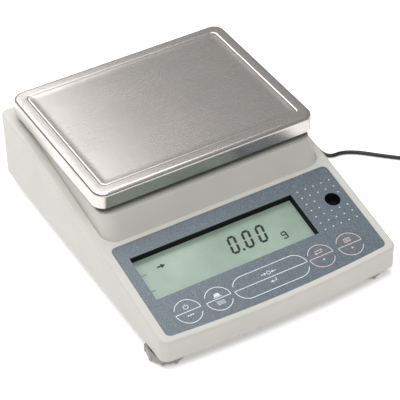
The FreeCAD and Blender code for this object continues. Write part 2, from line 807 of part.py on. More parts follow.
def platform_cover():
    """Cover under the pan: leaning walls, hole and drip collar for the load post, four legs."""
    none = Size(0, "0")
    eased = [(platform_edge, none), (0.3 * platform_edge, 0.3 * platform_edge), (none, platform_edge)]
    outer = platform_form("platform_outer", none, [(platform_drop, none)] + eased, none)
    inner = [(platform_drop + 1, none), (platform_wall, none)]
    hollow = platform_form("platform_hollow", platform_wall, inner, none)
    collar = cylinder("collar", 0, pan_y, case_top - 1, post_hole_radius + collar_width, collar_height + 1)
    legs = screw_columns("platform_leg", leg_points, floor_top, case_top - 1, leg_radius)
    hole = cylinder("post_hole", 0, pan_y, case_top - 10, post_hole_radius, 20)
    bore_top = base_gap + head_height + screw_length + 1
    bores = screw_columns("leg_bore", leg_points, floor_top - 1, bore_top, screw_radius + slip)
    shell = cut("platform_shell", outer, [hollow])
    joined = fuse("platform_joined", [shell, collar] + legs)
    return node("platform_cover", cut("platform_cover", joined, [hole] + bores))


FEET = {
    "front_left": (-foot_x, front_foot_y),
    "front_right": (foot_x - right_foot_shift, front_foot_y),
    "rear_left": (rear_foot_shift - foot_x, rear_foot_y),
    "rear_right": (foot_x - rear_foot_shift, rear_foot_y),
}


def standoff_points():
    """Main board's fixing points, near its corners."""
    sides = (main_left + 5, main_left + main_width - 5)
    ends = (main_start + 5, main_end - 12)
    return [(x, y) for x in sides for y in ends]


def bottom_cover():
    """Closes the case from below and carries the feet, the cell, the boards and the level."""
    body = new_body("bottom_cover_plate")
    plan = sketch_on(body, "cover_plan", base_gap)
    inset = wall + fit_gap
    bowed_rectangle(plan, half_width - inset, front_y + inset, rear_y - inset, front_radius - inset)
    plate = pad(body, "cover_plate", plan, wall)
    fillet(body, "cover_corners", plate, is_upright, corner_radius - inset)

    level_y, level_z = on_panel(level_row, 0)
    cup_low = level_z - cup_drop - cup_height
    post_rise = cup_low - floor_top + 1
    extras = [cylinder("level_post", level_x, level_y, floor_top - 1, cup_radius - 1, post_rise)]
    boss_outer = insert_radius + boss_wall
    for name, (x, y) in FEET.items():
        height = insert_length - wall + 1
        extras.append(cylinder(name + "_boss", x, y, floor_top - 1, boss_outer, height))
    for number, (x, y) in enumerate(cell_screw_points):
        extras.append(cylinder(f"cell_seat_{number}", x, y, floor_top - 1, 5, cell_lift + 1))
    for number, (x, y) in enumerate(standoff_points()):
        extras.append(
            cylinder(f"standoff_{number}", x, y, floor_top - 1, standoff_radius, standoff_height + 1)
        )
    joined = fuse("cover_joined", [body] + extras)

    tools = []
    for name, (x, y) in FEET.items():
        tools.append(cylinder(name + "_insert_hole", x, y, base_gap - 1, insert_radius, insert_length + 2))
    every_screw = case_screw_points + leg_points + cell_screw_points
    through = floor_top + cell_lift + 1
    tools += screw_columns("cover_hole", every_screw, base_gap - 1, through, screw_radius + fit_gap)
    sink = base_gap + head_height
    tools += screw_columns("cover_sink", every_screw, base_gap - 1, sink, head_radius + fit_gap)
    for number, (x, y) in enumerate(standoff_points()):
        tools.append(cylinder(f"board_bore_{number}", x, y, floor_top, screw_radius + slip, 10))
    return node("bottom_cover", cut("bottom_cover", joined, tools))


def screws_up(name, points, length):
    """Screws driven up from the underside, heads sunk in the bottom cover."""
    pieces = []
    for number, (x, y) in enumerate(points):
        head = cylinder(f"{name}_head_{number}", x, y, base_gap + 0.2, head_radius, head_height - 0.2)
        shank = cylinder(f"{name}_shank_{number}", x, y, base_gap + head_height, screw_radius, length)
        drive = cylinder(f"{name}_drive_{number}", x, y, base_gap, screw_radius * 0.8, 1)
        pieces.append(cut(f"{name}_{number}", fuse(f"{name}_blank_{number}", [head, shank]), [drive]))
    return node(name, group(name, pieces))


def board_screws():
    """Pan-head screws that hold the main board on its posts."""
    pieces = []
    for number, (x, y) in enumerate(standoff_points()):
        head = cylinder(f"board_head_{number}", x, y, board_top, head_radius, head_height)
        shank = cylinder(f"board_shank_{number}", x, y, board_top - 5, screw_radius, 5)
        pieces.append(fuse(f"board_screw_{number}", [head, shank]))
    return node("board_screws", group("board_screws", pieces))


# ---------------------------------------------------------------- control panel


def panel_film():
    """Printed film with openings for the display, the keys and the bubble level."""
    low = -film_recess
    body = film_slab("film_body", low, low + film_thickness, Size(0, "0"))
    openings = sketch_on(body, "film_openings", low)
    rectangle(openings, *window_span(0))
    for name in KEYS:
        draw_key(openings, name, key_gap)
    pocket(body, "film_cut", openings, film_thickness + 1, upward=True)
    level_y, level_z = on_panel(level_row, 0)
    sight = cylinder("film_sight", level_x, level_y, level_z - 6, level_window, 12)
    return node("control_panel_film", cut("control_panel_film", body, [sight]))


def lcd_bezel():
    """Dark frame between the film's window and the display's glass."""
    low = -window_depth
    sides, ends = window_span(bezel_wall)
    outer = box("bezel_outer", sides, ends, (low, -film_recess), sloping=True)
    sides, ends = window_span(0)
    inner = box("bezel_inner", sides, ends, (low - 1, as_size(1)), sloping=True)
    return node("lcd_bezel", cut("lcd_bezel", outer, [inner]))


def lcd_panel():
    sides, ends = window_span(glass_margin)
    glass = box("lcd_panel", sides, ends, (-board_depth, -window_depth), sloping=True)
    return node("lcd_panel", glass)


def display_board():
    """Board under the panel: wide behind the display, narrower under the keys."""
    right = window_left + window_width + glass_margin + 2
    left = window_left - glass_margin - 0.7
    shelf = window_low - glass_margin - 1.5
    low = key_row - 9
    high = window_low + window_height + glass_margin + 0.5

    def draw(outline):
        polygon(
            outline,
            [(-66, low), (66, low), (66, shelf), (right, shelf), (right, high), (left, high), (left, shelf),
             (-66, shelf)],
        )

    body, _ = panel_slab("display_board_body", -board_depth - board_thickness, -board_depth, draw)
    return node("display_board", body)


def key_switches():
    """One push switch under each key."""
    pieces = []
    half = switch_side / 2
    for name, x in KEYS.items():
        top = -board_depth + switch_height
        block = box(
            name + "_switch",
            (x - half, x + half),
            (key_row - half, key_row + half),
            (-board_depth, top),
            sloping=True,
        )
        button = cylinder(name + "_button", x, key_row, top, switch_button, 0.45, sloping=True)
        pieces.append(fuse(name + "_push_switch", [block, button]))
    return node("key_switches", group("key_switches", pieces))


def key(name):
    """A key: cap flush with the film, stem down to its switch."""
    top = -film_recess + film_thickness
    cap, _ = panel_slab(name + "_cap", top - key_cap, top, lambda s: draw_key(s, name, Size(0, "0")))
    switch_top = -board_depth + switch_height + 0.45
    stem_end = switch_top + key_travel + press_gap
    stem = cylinder(
        name + "_stem", KEYS[name], key_row, stem_end, stem_radius, top - key_cap / 2 - stem_end, sloping=True
    )
    return node(name + "_key", fuse(name + "_key", [cap, stem]))


def bubble_level():
    """Round level on its post: an open cup and the clear vial in it."""
    y, z = on_panel(level_row, 0)
    low = z - cup_drop - cup_height
    outer = cylinder("cup_outer", level_x, y, low, cup_radius, cup_height)
    hollow = cylinder("cup_hollow", level_x, y, low + cup_wall, cup_radius - cup_wall, cup_height)
    node("bubble_level_cup", cut("bubble_level_cup", outer, [hollow]))
    vial = cylinder(
        "bubble_level_vial", level_x, y, low + cup_wall, cup_radius - cup_wall, cup_height - cup_wall - 0.4
    )
    return node("bubble_level_vial", vial)


# ---------------------------------------------------------------- force cell


def cell_base():
    """Cast base of the force cell: plate, rear tower with hinge grooves, fulcrum ears."""
    plate = box(
        "cell_plate_block",
        (-cell_width / 2, cell_width / 2),
        (cell_start, cell_end),
        (plate_low, plate_top),
    )
    tower = box(
        "cell_tower",
        (-tower_width / 2, tower_width / 2),
        (tower_y, tower_y + tower_depth),
        (plate_top - 1, plate_top + tower_height),
    )
    fulcrum_y = (pivot_y - fulcrum_depth / 2, pivot_y + fulcrum_depth / 2)
    fulcrum = box("cell_fulcrum", (-ear_out, ear_out), fulcrum_y, (plate_top - 1, pivot_z + 3))
    gap = lever_width / 2 + ear_gap
    slot = box(
        "fulcrum_slot",
        (-gap, gap),
        (fulcrum_y[0] - 1, fulcrum_y[1] + 1),
        (lever_low - ear_gap, pivot_z + 10),
    )
    tools = [slot]
    tools.append(
        cylinder("fulcrum_bore", -ear_out - 1, pivot_y, pivot_z, pivot_radius + slip, 2 * ear_out + 2, "X")
    )
    for name, level in (("low", guide_low), ("high", guide_high)):
        radius = hinge_radius + slip
        tools.append(
            cylinder(
                f"groove_{name}", -tower_width, tower_y, plate_top + level, radius, 2 * tower_width, "X"
            )
        )
    bores = screw_columns(
        "cell_bore", cell_screw_points, plate_low - 1, plate_top - 0.5, screw_radius + slip
    )
    body = fuse("cell_body", [plate, tower, fulcrum])
    return node("cell_base", cut("cell_base", body, tools + bores))


def guide(name, level):
    """A guide plate with round ends, hinged in the tower and in the load carrier."""
    z = plate_top + level
    half = guide_width / 2
    plate = box(
        name + "_plate",
        (-half, half),
        (carrier_rear + hinge_gap, tower_y - hinge_gap),
        (z - guide_sheet / 2, z + guide_sheet / 2),
    )
    ends = [
        cylinder(f"{name}_end_{number}", -half, y, z, hinge_radius, guide_width, "X")
        for number, y in enumerate((carrier_rear, tower_y))
    ]
    return node(name, fuse(name, [plate] + ends))


def load_carrier():
    """Block between the guides, with the post that stands up through the platform."""
    low = plate_top + carrier_lift
    half = carrier_width / 2
    block = box("carrier_block", (-half, half), (carrier_front, carrier_rear), (low, low + carrier_height))
    post_top = case_top + hub_lift + 3
    post_low = low + carrier_height - 1
    post = cylinder("carrier_post", 0, pan_y, post_low, post_radius, post_top - post_low)
    tools = []
    for name, level in (("low", guide_low), ("high", guide_high)):
        radius = hinge_radius + hinge_gap
        tools.append(
            cylinder(f"carrier_groove_{name}", -half - 1, carrier_rear, plate_top + level, radius,
                     carrier_width + 2, "X")
        )
    reach = lever_width / 2 + 0.7
    tools.append(
        box(
            "carrier_slot",
            (-reach, reach),
            (carrier_front - 1, carrier_front + lever_tongue + 0.7),
            (lever_low - 0.8, lever_low + lever_depth + 0.8),
        )
    )
    return node("load_carrier", cut("load_carrier", fuse("carrier_body", [block, post]), tools))


def lever():
    """Beam on its pivot pin: short end in the load carrier, long end over the magnet."""
    half = lever_width / 2
    beam = box(
        "lever_beam",
        (-half, half),
        (lever_end, carrier_front + lever_tongue),
        (lever_low, lever_low + lever_depth),
    )
    pivot = cylinder("lever_pivot", -ear_out, pivot_y, pivot_z, pivot_radius, 2 * ear_out, "X")
    return node("lever", fuse("lever", [beam, pivot]))


def force_coil():
    """Coil on a cup-shaped former that hangs under the lever in the magnet's gap."""
    low = lever_low - coil_height
    outer = cylinder("coil_outer_form", 0, coil_y, low, coil_outer, coil_height)
    inner = cylinder("coil_inner_form", 0, coil_y, low - 1, coil_inner, coil_height - coil_top + 1)
    return node("force_coil", cut("force_coil", outer, [inner]))


def sensor_flag():
    """Thin flag on the lever's end that the position sensor watches."""
    half = flag_sheet / 2
    stem_low, stem_high = plate_top + flag_low, lever_low + lever_depth / 2 - 0.2
    stem = box("flag_stem", (-half, half), (lever_end - 3, lever_end), (stem_low, stem_high))
    blade = box(
        "flag_blade",
        (-half, half),
        (lever_end - flag_length, lever_end - 2),
        (stem_low, plate_top + flag_high),
    )
    return node("sensor_flag", fuse("sensor_flag", [stem, blade]))


def magnet_system():
    """Steel yoke, magnet and pole cap that make the ring-shaped gap."""
    blank = cylinder("yoke_blank", 0, coil_y, plate_top, yoke_radius, yoke_height)
    hollow = cylinder(
        "yoke_hollow", 0, coil_y, plate_top + yoke_floor, yoke_radius - yoke_wall, yoke_height
    )
    node("magnet_yoke", cut("magnet_yoke", blank, [hollow]))
    magnet_low = plate_top + yoke_floor
    node("magnet", cylinder("magnet", 0, coil_y, magnet_low, magnet_radius, magnet_height))
    pole_low = magnet_low + magnet_height
    pole = cylinder("pole_cap", 0, coil_y, pole_low, pole_radius, plate_top + yoke_height - pole_low)
    return node("pole_cap", pole)


def position_sensor():
    """Light barrier: a block with a slot for the flag."""
    half = sensor_width / 2
    rear = sensor_rear
    top = plate_top + sensor_height
    block = box("sensor_block", (-half, half), (rear - sensor_depth, rear), (plate_top, top))
    slot = box(
        "sensor_gap",
        (-sensor_slot / 2, sensor_slot / 2),
        (rear - sensor_depth - 1, rear + 1),
        (plate_top + flag_low - 4, top + 1),
    )
    return node("position_sensor", cut("position_sensor", block, [slot]))


def overload_stops():
    """Two pins that catch the load carrier before the hinges are hurt."""
    height = carrier_lift - load_travel - 0.1
    pieces = [
        cylinder(f"stop_{number}", side * stop_x, pan_y, plate_top, stop_radius, height)
        for number, side in enumerate((-1, 1))
    ]
    return node("overload_stops", group("overload_stops", pieces))


# ---------------------------------------------------------------- pan


def pan():
    """Deep-drawn steel pan: skirt all round, fine step inside the border."""
    body = new_body("pan_body")
    half_x, half_y = pan_width / 2, pan_depth / 2

    def plan(name, level, inset, radius):
        drawing = sketch_on(body, name, level)
        spans = (-half_x + inset, half_x - inset), (pan_y - half_y + inset, pan_y + half_y - inset)
        rounded_rectangle(drawing, *spans, radius)
        return drawing

    block = pad(body, "pan_block", plan("pan_plan", pan_low, Size(0, "0"), pan_corner), pan_skirt)
    fillet(body, "pan_rounding", block, lies_at(pan_top), pan_edge)
    inner = plan("pan_step_plan", pan_top, pan_border, pan_inner_corner)
    step = pocket(body, "pan_step_cut", inner, pan_step)
    reach_x, reach_y = (half_x - pan_border).value + 0.01, (half_y - pan_border).value + 0.01

    def on_step(edge):
        extent = edge.BoundBox
        inside = extent.XMax < reach_x and extent.XMin > -reach_x
        inside = inside and extent.YMax < pan_y.value + reach_y and extent.YMin > pan_y.value - reach_y
        return inside and (lies_at(pan_top)(edge) or lies_at(pan_top - pan_step)(edge))

    fillet(body, "pan_step_rounding", step, on_step, pan_step_edge)
    hollow_corner = pan_corner - pan_sheet
    under = plan("pan_under_plan", pan_low, pan_sheet, hollow_corner)
    pocket(body, "pan_under", under, pan_skirt - pan_sheet - pan_step, upward=True)
    ring = sketch_on(body, "pan_ring_plan", pan_low)
    across = (-half_x + pan_sheet, half_x - pan_sheet)
    along = (pan_y - half_y + pan_sheet, pan_y + half_y - pan_sheet)
    spans = across, along
    rounded_rectangle(ring, *spans, hollow_corner)
    inset = pan_border - pan_sheet
    spans = (-half_x + inset, half_x - inset), (pan_y - half_y + inset, pan_y + half_y - inset)
    rounded_rectangle(ring, *spans, pan_inner_corner + pan_sheet)
    pocket(body, "pan_ring", ring, pan_skirt - pan_sheet, upward=True)
    return node("pan", body)


def pan_support():
    """Cross of two arms on a hub that drops over the load post."""
    low = case_top + hub_lift
    arm_top = pan_top - pan_step - pan_sheet - cushion_height
    hub = cylinder("support_hub", 0, pan_y, low, hub_radius, arm_top - low)
    reach_x = pan_width / 2 - cushion_inset
    reach_y = pan_depth / 2 - cushion_inset
    pieces = [hub]
    seats = [(x * reach_x, pan_y + y * reach_y) for x in (-1, 1) for y in (-1, 1)]
    half = arm_width / 2
    pieces.append(
        box("support_bar", (-reach_x - half, reach_x + half), (pan_y - half, pan_y + half),
            (arm_top - arm_height, arm_top))
    )
    for number, side in enumerate((-1, 1)):
        x = side * reach_x
        pieces.append(
            box(f"support_arm_{number}", (x - half, x + half),
                (pan_y - reach_y - half, pan_y + reach_y + half), (arm_top - arm_height, arm_top))
        )
    bore = cylinder("support_bore", 0, pan_y, low - 1, post_radius + slip, 4)
    node("pan_support", cut("pan_support", fuse("support_body", pieces), [bore]))
    cushions = [
        cylinder(f"cushion_{number}", x, y, arm_top, cushion_radius, cushion_height)
        for number, (x, y) in enumerate(seats)
    ]
    return node("pan_cushions", group("pan_cushions", cushions))


# ---------------------------------------------------------------- feet


def foot(name, x, y):
    """Levelling foot: rubber pad, ribbed wheel, threaded stud."""
    pin_height = 2
    pad_disc = cylinder(name + "_pad_disc", x, y, 0, pad_radius, pad_height)
    pad_pin = cylinder(name + "_pad_pin", x, y, pad_height / 2, pivot_pin, pad_height / 2 + pin_height)
    node(name + "_foot_pad", fuse(name + "_foot_pad", [pad_disc, pad_pin]))

    body = new_body(name + "_wheel_body")
    disc_plan = sketch_on(body, name + "_disc_plan", 0)
    circle(disc_plan, 0, 0, wheel_radius)
    disc = pad(body, name + "_disc", disc_plan, wheel_height)
    bevel_edges = edges_of(disc, lambda edge: True)
    bevel = body.newObject("PartDesign::Chamfer", name + "_bevel")
    bevel.Base = (disc, [edge for edge in bevel_edges if len(disc.Shape.getElement(edge).Vertexes) == 1])
    bind(bevel, "Size", 0.5)
    rib_plan = sketch_on(body, name + "_rib_plan", 0.3)
    circle(rib_plan, 0, 0.4 - wheel_radius, rib_radius)
    rib = pad(body, name + "_rib", rib_plan, wheel_height - 0.6)
    ribs = body.newObject("PartDesign::PolarPattern", name + "_ribs")
    ribs.Originals = [rib]
    ribs.Axis = (disc_plan, ["N_Axis"])
    ribs.Angle = 360
    bind(ribs, "Occurrences", rib_count)
    body.Tip = ribs
    hole_plan = sketch_on(body, name + "_hole_plan", 0)
    circle(hole_plan, 0, 0, pivot_pin + slip)
    pocket(body, name + "_hole", hole_plan, pin_height + 0.2, upward=True)
    hollow_plan = sketch_on(body, name + "_hollow_plan", wheel_height)
    circle(hollow_plan, 0, 0, wheel_radius - wheel_rim)
    circle(hollow_plan, 0, 0, wheel_hub)
    pocket(body, name + "_hollow", hollow_plan, wheel_hollow)
    place(body, x, y, pad_height)
    node(name + "_foot_wheel", body)

    wheel_top = pad_height + wheel_height
    stud = cylinder(name + "_foot_stud", x, y, wheel_top, stud_radius, stud_length)
    node(name + "_foot_stud", stud)


def foot_inserts():
    """Brass threaded inserts in the bottom cover's bosses, one for each stud."""
    pieces = []
    for name, (x, y) in FEET.items():
        blank = cylinder(name + "_insert_blank", x, y, base_gap, insert_radius, insert_length)
        bore = cylinder(name + "_insert_bore", x, y, base_gap - 1, stud_radius + slip, insert_length + 2)
        pieces.append(cut(name + "_insert", blank, [bore]))
    return node("foot_inserts", group("foot_inserts", pieces))


# ---------------------------------------------------------------- boards and sockets


def main_board():
    """Main board, and the parts soldered to it as one group."""
    y_span = (main_start, main_end)
    blank = box("board_blank", (main_left, main_left + main_width), y_span, (main_level, board_top))
    bores = screw_columns("board_hole", standoff_points(), main_level - 1, board_top + 1, screw_radius + slip)
    node("main_board", cut("main_board", blank, bores))
    right = main_left + main_width
    middle = main_start + main_depth / 2
    pieces = [
        box(
            "processor",
            (main_left + 12, main_left + 24),
            (middle - 20, middle - 8),
            (board_top, board_top + 1.6),
        ),
        box(
            "converter",
            (main_left + 12, main_left + 20),
            (middle + 6, middle + 16),
            (board_top, board_top + 2),
        ),
        box("shield", (right - 16, right - 4), (middle - 4, middle + 14), (board_top, board_top + 4)),
        cylinder("capacitor_0", right - 9, middle + 24, board_top, 4, 9),
        cylinder("capacitor_1", right - 9, middle - 20, board_top, 3, 7),
    ]
    return node("main_board_parts", group("main_board_parts", pieces))


def power_jack():
    """Round low-voltage socket in the rear wall."""
    half = jack_width / 2
    block = box(
        "jack_block",
        (jack_x - half, jack_x + half),
        (rear_y - jack_length, rear_y),
        (board_top, board_top + jack_height),
    )
    centre = board_top + jack_height / 2
    bore_start = rear_y - jack_bore_depth
    bore = cylinder("jack_socket", jack_x, bore_start, centre, jack_bore, jack_bore_depth + 1, "Y")
    return node("power_jack", cut("power_jack", block, [bore]))


def data_port():
    """Rectangular data socket in the rear wall."""
    half = port_width / 2
    x_span = (port_x - half, port_x + half)
    block = box("port_block", x_span, (rear_y - port_length, rear_y), (board_top, board_top + port_height))
    mouth = box(
        "port_mouth",
        (x_span[0] + port_wall, x_span[1] - port_wall),
        (rear_y - port_depth, rear_y + 1),
        (board_top + port_wall, board_top + port_height - port_wall),
    )
    return node("data_port", cut("data_port", block, [mouth]))


def ribbon_cable():
    """Flat cable from the display board down to the main board."""
    body = new_body("ribbon_body")
    side = sketch_on(body, "ribbon_side", main_left + 10, "YZ_Plane")
    thickness = 0.6
    start_y, start_z = on_panel(window_low + 10, -board_depth - board_thickness - 0.4)
    end_y = main_start + 3
    route = [
        (start_y, start_z),
        (start_y + 5, start_z - 4),
        (end_y - 15, board_top + thickness + 1.5),
        (end_y - 5, board_top + thickness),
        (end_y, board_top + thickness),
    ]
    lower = [(y, z - thickness) for y, z in reversed(route)]
    polygon(side, route + lower)
    pad(body, "ribbon_strip", side, 10)
    return node("ribbon_cable", body)


# ---------------------------------------------------------------- power lead

lead_radius = cord_diameter / 2
jack_level = board_top + jack_height / 2
plug_end = rear_y + fit_gap + plug_length
lead_start = plug_end + relief_length
turn_middle = coil_middle + (coil_rows - 1) * lead_radius
coil_reach = coil_middle + coil_rows * lead_radius
coil_hole = coil_middle - coil_rows * lead_radius
coil_height_lying = coil_layers * cord_diameter


def lead_route():
    """Points that the lead turns at: out of the plug, down to the bench, round to the coil."""
    low = lead_radius.value
    x, back, high = jack_x.value, lead_start.value, jack_level.value
    side = half_width.value
    return [
        (x, back, high),
        (x, back + 10, high),
        (x + 2, back + 22, 0.73 * high),
        (x + 7, back + 31, 0.3 * high),
        (x + 17, back + 37, low),
        (x + 31, back + 37, low),
        (side + 15.4, back + 28, low),
        (side + 23.4, back + 12, low),
        (side + 27.4, back - 9, low),
        (side + 27.6, 113, low),
        (side + 25.4, 89, low),
        (side + 24.8, 67, low),
        (side + 26.6, 47, low),
        (side + 27.9, 29.5, low),
        (side + 28.7, 9.8, low),
        (side + 47.9, 9.9, low),
        (side + 65.4, -8, low),
        (side + 81.5, -22.5, low),
        (side + 92.8, -36, low),
    ]


def coil_centre():
    """The coil is wound anticlockwise, so it lies to the left of the lead's last run."""
    before, end = [Vector(*point) for point in lead_route()[-2:]]
    run = end - before
    left = Vector(-run.y, run.x, 0).normalize()
    return end.x + left.x * turn_middle.value, end.y + left.y * turn_middle.value


def tail_route():
    """Points of the lead from the coil's outer top turn to the adapter."""
    x, y = coil_centre()
    reach = turn_middle.value
    top = (coil_height_lying - lead_radius).value
    return [
        (x, y - reach, top),
        (x + 13, y - reach, top - 1.5),
        (x + 25, y - reach - 4, 3),
        (x + 33, y - reach - 13, 2.6),
        (x + 36, y - reach - 26, relief_level.value),
        (x + 36, y - reach - 37, relief_level.value),
    ]


def rounded_path(points, label):
    """Straight runs joined by tangent arcs; each arc as large as its two runs allow."""
    points = [Vector(*point) for point in points]
    edges = []
    start = points[0]
    radii = []
    for before, corner, after in zip(points, points[1:], points[2:]):
        arriving, leaving = corner - before, after - corner
        turn = arriving.getAngle(leaving)
        shorter = min(arriving.Length, leaving.Length)
        radius = 0.45 * shorter / math.tan(turn / 2)
        radii.append(radius)
        arriving.normalize()
        leaving.normalize()
        trim = 0.45 * shorter
        arc_start = corner - arriving * trim
        arc_end = corner + leaving * trim
        inward = (leaving - arriving).normalize()
        middle = corner + inward * (radius / math.cos(turn / 2) - radius)
        edges.append(Part.LineSegment(start, arc_start).toShape())
        edges.append(Part.Arc(arc_start, middle, arc_end).toShape())
        start = arc_end
    edges.append(Part.LineSegment(start, points[-1]).toShape())
    print(label, "radii in mm:", " ".join(f"{radius:.1f}" for radius in radii))
    return Part.Wire(edges)


def lead_tube(name, points):
    """The lead's tube along a rounded path, with its volume compared with section x length."""
    path = rounded_path(points, name)
    heading = Vector(*points[1]) - Vector(*points[0])
    profile = Part.Wire([Part.makeCircle(cord_diameter.value / 2, Vector(*points[0]), heading)])
    tube = path.makePipeShell([profile], True, False)
    section = math.pi * cord_diameter.value ** 2 / 4
    ratio = tube.Volume / section / path.Length
    print(name, "length", round(path.Length, 1), "volume ratio", round(ratio, 4))
    feature = doc.addObject("Part::Feature", name)
    feature.Shape = tube
    feature.Placement = Placement()
    return node(name, feature)


def plug():
    """Barrel plug in the jack, its body and its strain relief."""
    barrel = cylinder(
        "plug_barrel", jack_x, rear_y - barrel_length, jack_level, barrel_radius, barrel_length + 1, "Y"
    )
    body = cylinder("plug_body", jack_x, rear_y + fit_gap, jack_level, plug_radius, plug_length, "Y")
    node("dc_plug", fuse("dc_plug", [barrel, body]))
    relief = cone("plug_relief", jack_x, plug_end, jack_level, relief_radius, relief_tip, relief_length, "Y")
    return node("plug_relief", relief)


def lead_coil():
    """Outer shape of the wound-up lead, and the tie that holds it."""
    x, y = coil_centre()
    body = new_body("coil_body")
    ring = sketch_on(body, "coil_ring", 0)
    circle(ring, 0, 0, coil_reach)
    circle(ring, 0, 0, coil_hole)
    turns = pad(body, "coil_turns", ring, coil_height_lying)
    fillet(body, "coil_rounding", turns, lambda edge: len(edge.Vertexes) == 1, cord_diameter * 0.45)
    place(body, x, y, 0)
    node("lead_coil", body)
    half = tie_width / 2
    band = box(
        "tie_outside",
        (x - half, x + half),
        (y + coil_hole - tie_sheet, y + coil_reach + tie_sheet),
        (0, coil_height_lying + tie_sheet),
    )
    inside = box(
        "tie_inside",
        (x - tie_width, x + tie_width),
        (y + coil_hole, y + coil_reach),
        (tie_sheet, coil_height_lying),
    )
    return node("coil_tie", cut("coil_tie", band, [inside]))


def adapter():
    """Plug-in adapter lying on its side, with its strain relief and two round pins."""
    x, y, z = tail_route()[-1]
    front = y - adapter_relief
    relief = cone("adapter_relief_cone", x, front, z, relief_radius, relief_tip, adapter_relief, "Y")
    node("adapter_relief", relief)
    body = new_body("adapter_body")
    left = x - adapter_width / 2
    plan = sketch_on(body, "adapter_plan", 0)
    rectangle(plan, (left, left + adapter_width), (front - adapter_length, front))
    block = pad(body, "adapter_block", plan, adapter_height)
    fillet(body, "adapter_rounded", block, lambda edge: True, adapter_rounding)
    node("adapter_housing", body)
    middle = front - adapter_length / 2
    pieces = [
        cylinder(
            f"prong_{number}",
            left + adapter_width,
            middle + side * prong_spacing / 2,
            adapter_height / 2,
            prong_radius,
            prong_length,
            "X",
        )
        for number, side in enumerate((-1, 1))
    ]
    return node("adapter_pins", group("adapter_pins", pieces))


# ---------------------------------------------------------------- whole balance


def build():
    upper_housing()
    platform_cover()
    bottom_cover()
    screws_up("cover_screws", case_screw_points + leg_points, screw_length)
    screws_up("cell_screws", cell_screw_points, cell_lift + cell_plate)
    board_screws()
    foot_inserts()
    panel_film()
    lcd_bezel()
    lcd_panel()
    display_board()
    key_switches()
    bubble_level()
    for name in KEYS:
        key(name)
    cell_base()
    guide("upper_guide", guide_high)
    guide("lower_guide", guide_low)
    load_carrier()
    lever()
    force_coil()
    sensor_flag()
    magnet_system()
    position_sensor()
    overload_stops()
    pan()
    pan_support()
    for name, (x, y) in FEET.items():
        foot(name, x, y)
    main_board()
    power_jack()
    data_port()
    ribbon_cable()
    plug()
    lead_tube("power_lead", lead_route())
    lead_coil()
    lead_tube("lead_tail", tail_route())
    adapter()


def check_and_export():
    """Stops at anything that failed, then writes one file for each sub-part."""
    doc.recompute()
    faults = [
        f"{thing.Name}: {state}"
        for thing in doc.Objects
        for state in thing.State
        if state in ("Invalid", "Error") or "Invalid" in state
    ]
    for thing in NODES:
        if thing.Shape.isNull() or not thing.Shape.isValid() or not thing.Shape.Solids:
            faults.append(f"{thing.Label}: no valid solid")
    if faults:
        raise RuntimeError("; ".join(faults))
    os.makedirs("parts", exist_ok=True)
    for thing in NODES:
        thing.Shape.exportStep(f"parts/{thing.Label}.step")
        print(f"{thing.Label:24s} solids {len(thing.Shape.Solids)}  volume {thing.Shape.Volume:.0f}")
    print(len(NODES), "sub-parts")


build()
check_and_export()
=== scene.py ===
"""Looks of a top-loading precision balance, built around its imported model."""

import json
import logging
import math
from collections.abc import Callable, Sequence
from dataclasses import dataclass
from enum import Enum

import bmesh
import bpy
from mathutils import Matrix, Vector


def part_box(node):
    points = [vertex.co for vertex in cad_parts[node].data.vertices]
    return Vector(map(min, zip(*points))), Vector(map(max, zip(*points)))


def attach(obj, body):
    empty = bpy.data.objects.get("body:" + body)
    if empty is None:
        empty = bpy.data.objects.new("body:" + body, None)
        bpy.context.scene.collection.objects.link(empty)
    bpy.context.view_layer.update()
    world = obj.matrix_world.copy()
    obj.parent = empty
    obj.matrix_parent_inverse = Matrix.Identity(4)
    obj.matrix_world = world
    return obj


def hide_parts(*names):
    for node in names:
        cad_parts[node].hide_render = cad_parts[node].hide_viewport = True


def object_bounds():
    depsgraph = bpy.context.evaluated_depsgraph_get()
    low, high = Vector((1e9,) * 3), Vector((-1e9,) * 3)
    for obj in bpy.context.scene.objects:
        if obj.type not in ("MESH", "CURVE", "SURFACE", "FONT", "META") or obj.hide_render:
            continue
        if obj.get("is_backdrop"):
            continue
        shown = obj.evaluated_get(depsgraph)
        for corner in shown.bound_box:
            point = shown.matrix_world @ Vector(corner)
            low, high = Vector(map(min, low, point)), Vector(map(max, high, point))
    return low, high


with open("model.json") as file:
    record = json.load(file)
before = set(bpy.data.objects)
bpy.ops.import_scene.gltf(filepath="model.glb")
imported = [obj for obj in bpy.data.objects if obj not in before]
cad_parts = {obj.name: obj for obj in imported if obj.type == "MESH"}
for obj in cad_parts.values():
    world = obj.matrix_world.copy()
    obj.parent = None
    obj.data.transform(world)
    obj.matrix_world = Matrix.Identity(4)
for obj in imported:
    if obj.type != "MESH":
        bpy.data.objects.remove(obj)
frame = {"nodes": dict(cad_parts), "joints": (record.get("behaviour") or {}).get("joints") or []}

LOG = logging.getLogger("balance")
MM = 0.001
FILM_THICKNESS = 0.35 * MM
NODES = frame["nodes"]

Piece = bpy.types.Object
Socket = bpy.types.NodeSocket
Stops = Sequence[tuple[float, str]]
Rows = tuple[tuple[float, ...], ...]


# ------------ nodes and colours


def linear(hex_colour: str) -> tuple[float, float, float, float]:
    """Turns an sRGB hex colour into the linear values that nodes hold.

    Args:
        hex_colour: six hex digits after a hash sign.

    Returns:
        Linear red, green and blue, and an alpha of 1.
    """
    parts = [int(hex_colour[place : place + 2], 16) / 255 for place in (1, 3, 5)]
    red, green, blue = (v / 12.92 if v <= 0.04045 else ((v + 0.055) / 1.055) ** 2.4 for v in parts)
    return red, green, blue, 1.0


